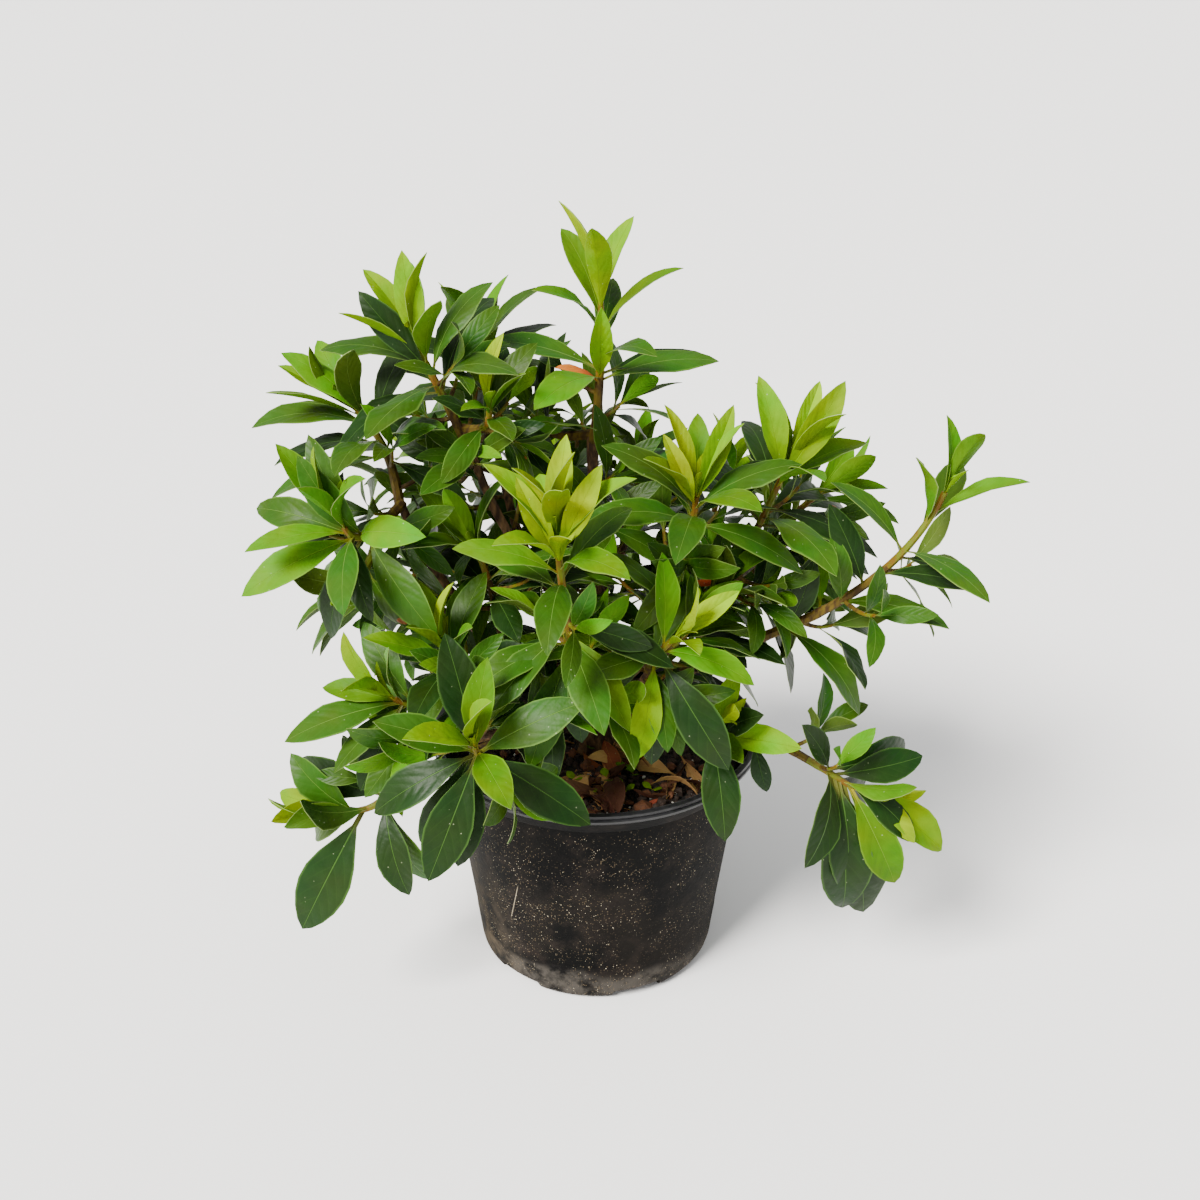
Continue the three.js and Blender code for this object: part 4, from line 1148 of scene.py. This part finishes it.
# %% The leaf group
def make_leaf_group():
    tree, given, results = new_group(
        "leaf surface",
        {"Blade": ("Color", (0.1, 0.2, 0.05, 1)), "Vein": ("Color", (0.3, 0.4, 0.1, 1)),
         "Stalk": ("Color", (0.3, 0.2, 0.05, 1)), "Veins": ("Float", 0.5)},
        {"Color": "Color", "Height": "Float", "Mask": "Float"})
    place = object_place(tree)
    u = wire(tree, "SeparateXYZ", {0: wire(tree, "UVMap", uv_map="blade")})
    v, side = u.also(1), abs(u - 0.5)
    midrib = 1.0 - fade(side / (0.026 - v * 0.02), 0.4, 1.0)
    run = (v - (side * 0.36 + side * side * 0.5)) * 8.0
    line = abs(run.maths("FRACT") - 0.5)
    inner = 1.0 - fade(side, 0.28, 0.46)
    side_veins = (1.0 - fade(line, 0.01, 0.09)) * inner
    cushions = fade(line, 0.0, 0.42) * inner
    rim = fade(wire(tree, "Attribute", out="Fac", attribute_name="rim"), 0.88, 0.98)
    tint = wire(tree, "Attribute", out="Fac", attribute_name="tint")
    mottle, washes = noise(place, 130.0, 3.0), noise(place, 48.0, 2.0)
    colour = wire(tree, "HueSaturation", {"Hue": tint * 0.02 + washes * 0.1 + 0.432, "Color": given["Blade"],
                                          "Value": tint * 0.45 + mottle * 0.55 + 0.5})
    colour = blend((midrib | side_veins * 0.07 | rim * 0.85) * given["Veins"], colour, given["Vein"])
    # Pale specks on the face: painted glints, partly dust.
    colour = blend(speckle(tree, 640.0, 0.16, 0.06) * 0.35, colour, linear("a8b08c"))
    colour = blend(speckle(tree, 34.0, 0.075, 0.13) * 0.85, colour, linear("8a4a20"))
    colour = blend((1.0 - fade(v, 0.06, 0.2)) * 0.85, colour, given["Stalk"])
    fill(results, {"Color": colour, "Height": mottle + cushions * 0.12 - midrib, "Mask": mottle})
    return tree


leaf_group = make_leaf_group()


def make_leaf_face(name, blade, vein, stalk, veins, rough, shine):
    material, tree, shader = new_material(name, specular=shine)
    out = use(tree, leaf_group, Blade=linear(blade), Vein=linear(vein), Stalk=linear(stalk), Veins=veins)
    fill(shader, {"Base Color": out["Color"], "Roughness": out["Mask"] * 0.22 + rough,
                  "Normal": bump(out["Height"], 0.6, 0.001)})
    return material


AGES = ["old", "mature", "fresh", "young", "newest", "withered"]
OLD, MATURE, FRESH, YOUNG, NEWEST, WITHERED = range(len(AGES))
FACES = [
    ("122c08", "486c2a", "55551c", 0.5, 0.32, 0.12), ("264808", "648834", "6c6a20", 0.5, 0.32, 0.12),
    ("3e6a02", "70922a", "84781e", 0.4, 0.4, 0.06), ("5a8200", "7c9c1c", "94801c", 0.25, 0.45, 0.03),
    ("749000", "8ca410", "a07c18", 0.2, 0.5, 0.01), ("94441a", "a8602c", "70401c", 0.4, 0.6, 0.1)]
BACKS = [
    ("284612", "5e7a34", "5f561c", 0.5, 0.5, 0.08), ("3c5a18", "769040", "746620", 0.5, 0.5, 0.08),
    ("426e0a", "74942e", "8a7824", 0.4, 0.5, 0.06), ("5a7e00", "7e9c24", "947c1e", 0.3, 0.5, 0.03),
    ("708c00", "8ca018", "a07c18", 0.25, 0.55, 0.01), ("8c5426", "a0703c", "70401c", 0.4, 0.65, 0.1)]
leaf_finishes = [make_leaf_face(f"{age} leaf {side}", *row)
                 for side, rows in (("face", FACES), ("back", BACKS)) for age, row in zip(AGES, rows)]
leaf_finishes += [make_grained(name, colour, "4a6424", 260.0, (0.5, 0.0))
                  for name, colour in (("leaf margin", "76883a"), ("young leaf margin", "84a01c"))]
print("leaf finishes:", len(leaf_finishes))

# %% Deal out the leaves to their sprays
def age_of(leaf, flush):
    """New growth sits at the tips of shoots in flush, old leaves low on the stem; leaves low in the shade get
    the dark old finish more often, which is partly painted shade.
    """
    if leaf.withered:
        return WITHERED
    if leaf.young == 0:
        # Painted shade: the lower a leaf sits, the likelier its dark old finish, partly for its age and
        # partly for the shade there.
        shade = 1 - sunlit(leaf.root)
        return OLD if leaf.tint < mixed(0.4, 0.7, shade) else MATURE if leaf.tint < 0.95 else FRESH
    score = leaf.young * flush + 0.16 * (leaf.tint - 0.5)
    return NEWEST if score > 0.72 else YOUNG if score > 0.42 else FRESH if score > 0.17 else MATURE


def leaf_look(flush):
    def look(leaf):
        age = age_of(leaf, flush)
        return age, len(AGES) + age, 2 * len(AGES) + (age in (YOUNG, NEWEST))
    return look


total = 0
for shoot in shoots:
    spray = join_leaves("leaves_" + shoot.name, [f for f in leaves if f.owner == shoot.name], leaf_finishes,
                        leaf_look(shoot.flush))
    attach(spray, "root")
    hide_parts("shoot_" + shoot.name)
    total += 2 * len(spray.data.polygons)
print("sprays:", len(shoots), "about", total, "triangles")

# %% [markdown]
# Stems are round bars along the rule's curves. They taper, swell a little at even steps and end in a
# flat cap. All are joined to one mesh, brown where the wood has ripened and orange-green above.

# %% Model the stems
STEM_SIDES = 7


def bar_points(curve, radius_at, steps, back=0.0):
    """Rings of points along a curve; "back" lets the bar start inside what it grows from."""
    rings = []
    for i in range(steps + 1):
        t = i / steps
        along = curve.tangent(t)
        right = unit(np.cross(along, [0.31, 0.2, 0.93]))
        other = np.cross(along, right)
        centre = curve.point(t) - along * (back if i == 0 else 0)
        angles = np.arange(STEM_SIDES) * 2 * math.pi / STEM_SIDES
        ring = np.outer(np.cos(angles), right) + np.outer(np.sin(angles), other)
        rings.append(centre + radius_at(t) * ring)
    return np.concatenate(rings)


def join_stems(name, bars, finishes):
    points, faces, looks, count = [], [], [], 0
    sides = [(k, (k + 1) % STEM_SIDES) for k in range(STEM_SIDES)]
    for curve, radius_at, steps, back, ripe in bars:
        points.append(bar_points(curve, radius_at, steps, back))
        for i in range(steps):
            low, high = count + i * STEM_SIDES, count + (i + 1) * STEM_SIDES
            faces += [(low + k, low + n, high + n, high + k) for k, n in sides]
            looks += [0 if i / steps < ripe else 1] * STEM_SIDES
        top = count + steps * STEM_SIDES
        faces += [tuple(count + k for k, _ in reversed(sides)), tuple(top + k for k, _ in sides)]
        looks += [0, 1]
        count += (steps + 1) * STEM_SIDES
    piece = new_piece(name, points, faces, finishes, looks)
    bpy.ops.object.shade_smooth_by_angle(angle=math.radians(50))
    return piece


def knotty(base, tip, knots):
    return lambda t: mixed(base, tip, t) * (1 + 0.12 * max(0.0, math.sin(knots * t)) ** 4)


def make_bark(name, dark, pale, scale, rough, depth):
    return make_grained(name, dark, pale, scale, (rough, 0.15), (0.6, depth), stretch=(1, 1, 0.35),
                        contrast=(0.36, 0.64), specular=0.2)


twig_brown = make_bark("ripening stem", "38260c", "5a4a10", 420.0, 0.6, 0.0005)
twig_green = make_bark("young stem", "62440a", "58620c", 240.0, 0.5, 0.0003)
bars = []
for shoot in shoots:
    for rank, stem in enumerate(shoot.stems):
        base = shoot.limb.tip if rank == 0 else TWIG_RADIUS * 1.1
        ripe = mixed(0.75, 0.3, shoot.flush) if rank == 0 else 0.3
        bars.append((stem["curve"], knotty(min(1.25 * base, 2.4), 1.3, 40), 16, 3 if rank == 0 else 0, ripe))
for twig in fine_twigs:
    bars.append((twig, knotty(1.15, FINE_RADIUS, 20), 6, 0, 0.5))
stems = join_stems("young_stems", bars, [twig_brown, twig_green])
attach(stems, "root")
print(stems.name, "faces:", len(stems.data.polygons))

# %% [markdown]
# The short main stem and the boughs are older wood. Each bough is a curve with a round bevel that is
# turned into a mesh; the main stem is extruded ring by ring from its foot, and its roots are drawn out
# from the lowest rings. Two Displace modifiers give the joined wood the relief of bark.

# %% Model the main stem and the boughs
def model_main_stem():
    trunk = limbs["trunk"]
    deselect()
    bpy.ops.mesh.primitive_circle_add(vertices=20, radius=TRUNK.foot * MM, fill_type="NGON",
                                      location=(0, TRUNK_Y * MM, (SOIL_TOP + CLEAR) * MM))
    piece = name_it("main_stem")
    at_origin(piece)
    bpy.ops.object.mode_set(mode="EDIT")
    rings, radius = 18, TRUNK.foot
    place = trunk.curve.point(0)
    for i in range(1, rings + 1):
        t = i / rings
        bpy.ops.mesh.extrude_edges_move() if i == 1 else bpy.ops.mesh.extrude_region_move()
        wanted = mixed(TRUNK.waist, TRUNK.head, t) + (TRUNK.foot - TRUNK.waist) * (1 - t) ** 4
        share, next_place = wanted / radius, trunk.curve.point(t)
        bpy.ops.transform.resize(value=(share, share, 1), center_override=tuple(place * MM))
        bpy.ops.transform.translate(value=tuple((next_place - place) * MM))
        radius, place = wanted, next_place
    bpy.ops.mesh.edge_face_add()
    for height, reach in ((0.2, 1.35), (2.4, 1.22), (4.6, 1.1)):
        pick(piece, lambda co, h=height: abs(co.z / MM - SOIL_TOP - h) < 1.1
             and math.cos(TRUNK.roots * math.atan2(co.y - TRUNK_Y * MM, co.x)) > 0.25)
        middle = (0, TRUNK_Y * MM, (SOIL_TOP + height) * MM)
        bpy.ops.transform.resize(value=(reach, reach, 1), center_override=middle)
    finish_shape()
    return piece


def model_bough(limb):
    curve = limb.curve
    deselect()
    bpy.ops.curve.primitive_bezier_curve_add()
    piece = name_it(limb.name + "_wood")
    shape = piece.data
    shape.bevel_depth = MM
    shape.bevel_resolution = 3
    shape.use_fill_caps = True
    shape.resolution_u = 22
    shape.splines[0].radius_interpolation = "LINEAR"
    first, last = shape.splines[0].bezier_points
    for point, place, toward_middle, radius in (
            (first, curve.start, curve.middle, limb.base), (last, curve.end, curve.middle, limb.tip)):
        point.handle_left_type = point.handle_right_type = "FREE"
        handle = mixed(place, toward_middle, 2 / 3)
        other = place * 2 - handle
        point.co = place * MM
        point.handle_right = (handle if point == first else other) * MM
        point.handle_left = (other if point == first else handle) * MM
        point.radius = radius
    bpy.ops.object.convert(target="MESH")
    piece = bpy.context.active_object
    at_origin(piece)
    return piece


join([model_main_stem()] + [model_bough(limb) for name, limb in limbs.items() if name != "trunk"])
wood = name_it("woody_frame")
displace(wood, "knots", 9, 1.1)
displace(wood, "bark_ridges", 2.2, 0.6)
apply_all(wood)
bpy.ops.object.shade_smooth()
wood.data.materials.append(make_bark("brown bark", "36261a", "6a5034", 330.0, 0.75, 0.0012))
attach(wood, "root")
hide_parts(*limbs)
print(wood.name, "faces:", len(wood.data.polygons))

# %% [markdown]
# Crumbs of mix, chips of bark and pale perlite grains lie on the mix, with shed leaves that have dried
# to brown curls and a few seedlings. Each kind is one small form, copied with its own turn and size,
# and set on the surface by looking down on it with a ray.

# %% Strew the mix
def model_crumb():
    deselect()
    bpy.ops.mesh.primitive_ico_sphere_add(subdivisions=1, radius=1, location=(0, 0, 0))
    crumb = name_it("one_crumb")
    bpy.ops.object.mode_set(mode="EDIT")
    pick(crumb, lambda co: co.z < -0.5)
    bpy.ops.transform.resize(value=(1, 1, 0.5), center_override=(0, 0, 0))
    pick(crumb, lambda co: co.x > 0.5)
    bpy.ops.transform.resize(value=(1.5, 1, 0.8), center_override=(0, 0, 0))
    bpy.ops.object.mode_set(mode="OBJECT")
    points = np.array([v.co[:] for v in crumb.data.vertices])
    shape = points, [tuple(p.vertices) for p in crumb.data.polygons]
    bpy.data.objects.remove(crumb, do_unlink=True)
    return shape


def ground(x, y):
    """The height of the mix at a place, in millimetres."""
    hit, place, _, _ = mix.ray_cast((x * MM, y * MM, 0.14), (0, 0, -1))
    return place[2] / MM if hit else SOIL_TOP


def scatter(roll, reach, front=0.0):
    """A place on the mix, in millimetres; "front" draws it to the front right."""
    angle = 2 * math.pi * roll()
    if roll() < front:
        angle = math.radians(250 + 85 * roll())
    out = reach * math.sqrt(roll())
    return out * math.cos(angle), out * math.sin(angle)


def turn_matrix(roll, lean):
    a, b, c = 2 * math.pi * roll(), lean * (roll() - 0.5), lean * (roll() - 0.5)
    spin_z = np.array([[math.cos(a), -math.sin(a), 0], [math.sin(a), math.cos(a), 0], [0, 0, 1]])
    tilt_x = np.array([[1, 0, 0], [0, math.cos(b), -math.sin(b)], [0, math.sin(b), math.cos(b)]])
    tilt_y = np.array([[math.cos(c), 0, math.sin(c)], [0, 1, 0], [-math.sin(c), 0, math.cos(c)]])
    return spin_z @ tilt_x @ tilt_y


def strew(name, count, sizes, seed, finish, front=0.0):
    points = []
    shape, shape_faces = crumb_shape
    roll = dice(seed)
    for _ in range(count):
        x, y = scatter(roll, 66, front)
        size = mixed(*sizes, roll() ** 2)
        form = shape * [1, 0.7 + 0.6 * roll(), 0.5 + 0.5 * roll()] * size
        points.append(form @ turn_matrix(roll, 2.5).T + [x, y, ground(x, y) + 0.25 * size])
    piece = new_piece(name, points, copied(shape_faces, len(shape), count), [finish])
    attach(piece, "root")
    return piece


def make_grit(name, dark, pale):
    return make_grained(name, dark, pale, 900.0, (0.7, 0.25), (0.6, 0.0004))


crumb_shape = model_crumb()
crumbs = strew("mix_crumbs", 1300, (0.6, 2.8), 511, make_grit("peat crumb", "110b08", "3e2c1f"))
chips = strew("bark_chips", 90, (1.6, 4.2), 733, make_grit("bark chip", "3a2213", "7a4a28"), 0.3)
perlite = strew("perlite_grains", 110, (0.5, 1.6), 877, make_grit("perlite", "b9b5aa", "f2efe6"), 0.3)
print("crumbs, chips and grains:", [len(p.data.polygons) for p in (crumbs, chips, perlite)])

# %% Shed leaves and seedlings
LITTER_REACH = 69


def shed_leaf(roll):
    x, y = scatter(roll, 60, 0.6)
    matrix = turn_matrix(roll, 1.3)
    length = 20 + 16 * roll()
    along, face = matrix[:, 1], matrix[:, 2] * (1 if roll() < 0.6 else -1)
    lift = 1.5 + 3 * roll()
    root = np.array([x, y, ground(x, y) + lift]) - along * length / 2
    leaf = SimpleNamespace(root=root, along=along, face=face, length=length, width=length * 0.36, young=0)
    leaf.bend = (0.6 + 1.2 * roll()) * (1 if roll() < 0.5 else -1)
    leaf.fold, leaf.curl = 0.2 + 0.9 * roll(), 1.2 * (roll() - 0.4)
    leaf.twist, leaf.wave, leaf.phase, leaf.tint = 1.8 * (roll() - 0.5), 0.2 * roll(), 6.3 * roll(), roll()
    return leaf


def inside_pot(leaf):
    far = [np.hypot(*(leaf.root + leaf.along * leaf.length * s)[:2]) for s in (0, 1)]
    low = min((leaf.root + leaf.along * leaf.length * s)[2] for s in (0, 1))
    return max(far) < LITTER_REACH and low > SOIL_TOP - 1


def seedlings(count, seed):
    roll, found = dice(seed), []
    for _ in range(count):
        x, y = scatter(roll, 60, 0.9)
        turn = 360 * roll()
        for side in (0, 180):
            along = toward(turn + side, 25)
            root = np.array([x, y, ground(x, y) + 2.5 + 2 * roll()])
            found.append(SimpleNamespace(
                root=root, along=along, face=unit(UP - along * along[2]), length=4.6 + 2 * roll(), width=4.2,
                young=1, bend=0.4, fold=0.1, curl=0.2, twist=0.1, wave=0, phase=0, tint=roll()))
    return found


shed_finishes = [make_leaf_face(*row) for row in (
    ("shed leaf, orange", "85502a", "a8743f", "6b4020", 0.5, 0.6, 0.15),
    ("shed leaf, tan", "a98750", "c4a468", "7a5a30", 0.5, 0.6, 0.15),
    ("shed leaf, brown", "4a3020", "664830", "3a2616", 0.5, 0.65, 0.15))]
roll = dice(1919)
shed = [leaf for leaf in (shed_leaf(roll) for _ in range(84)) if inside_pot(leaf)]
litter = join_leaves("shed_leaves", shed, shed_finishes,
                     lambda leaf: [(leaf.tint >= 0.3) + (leaf.tint >= 0.68)] * 3)
sprout_finishes = [leaf_finishes[YOUNG], leaf_finishes[len(AGES) + YOUNG], leaf_finishes[-1]]
sprouts = join_leaves("seedlings", seedlings(14, 2027), sprout_finishes, lambda leaf: (0, 1, 2))
for piece in (litter, sprouts):
    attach(piece, "root")
print("shed leaves:", len(shed), "faces of seedlings:", len(sprouts.data.polygons))
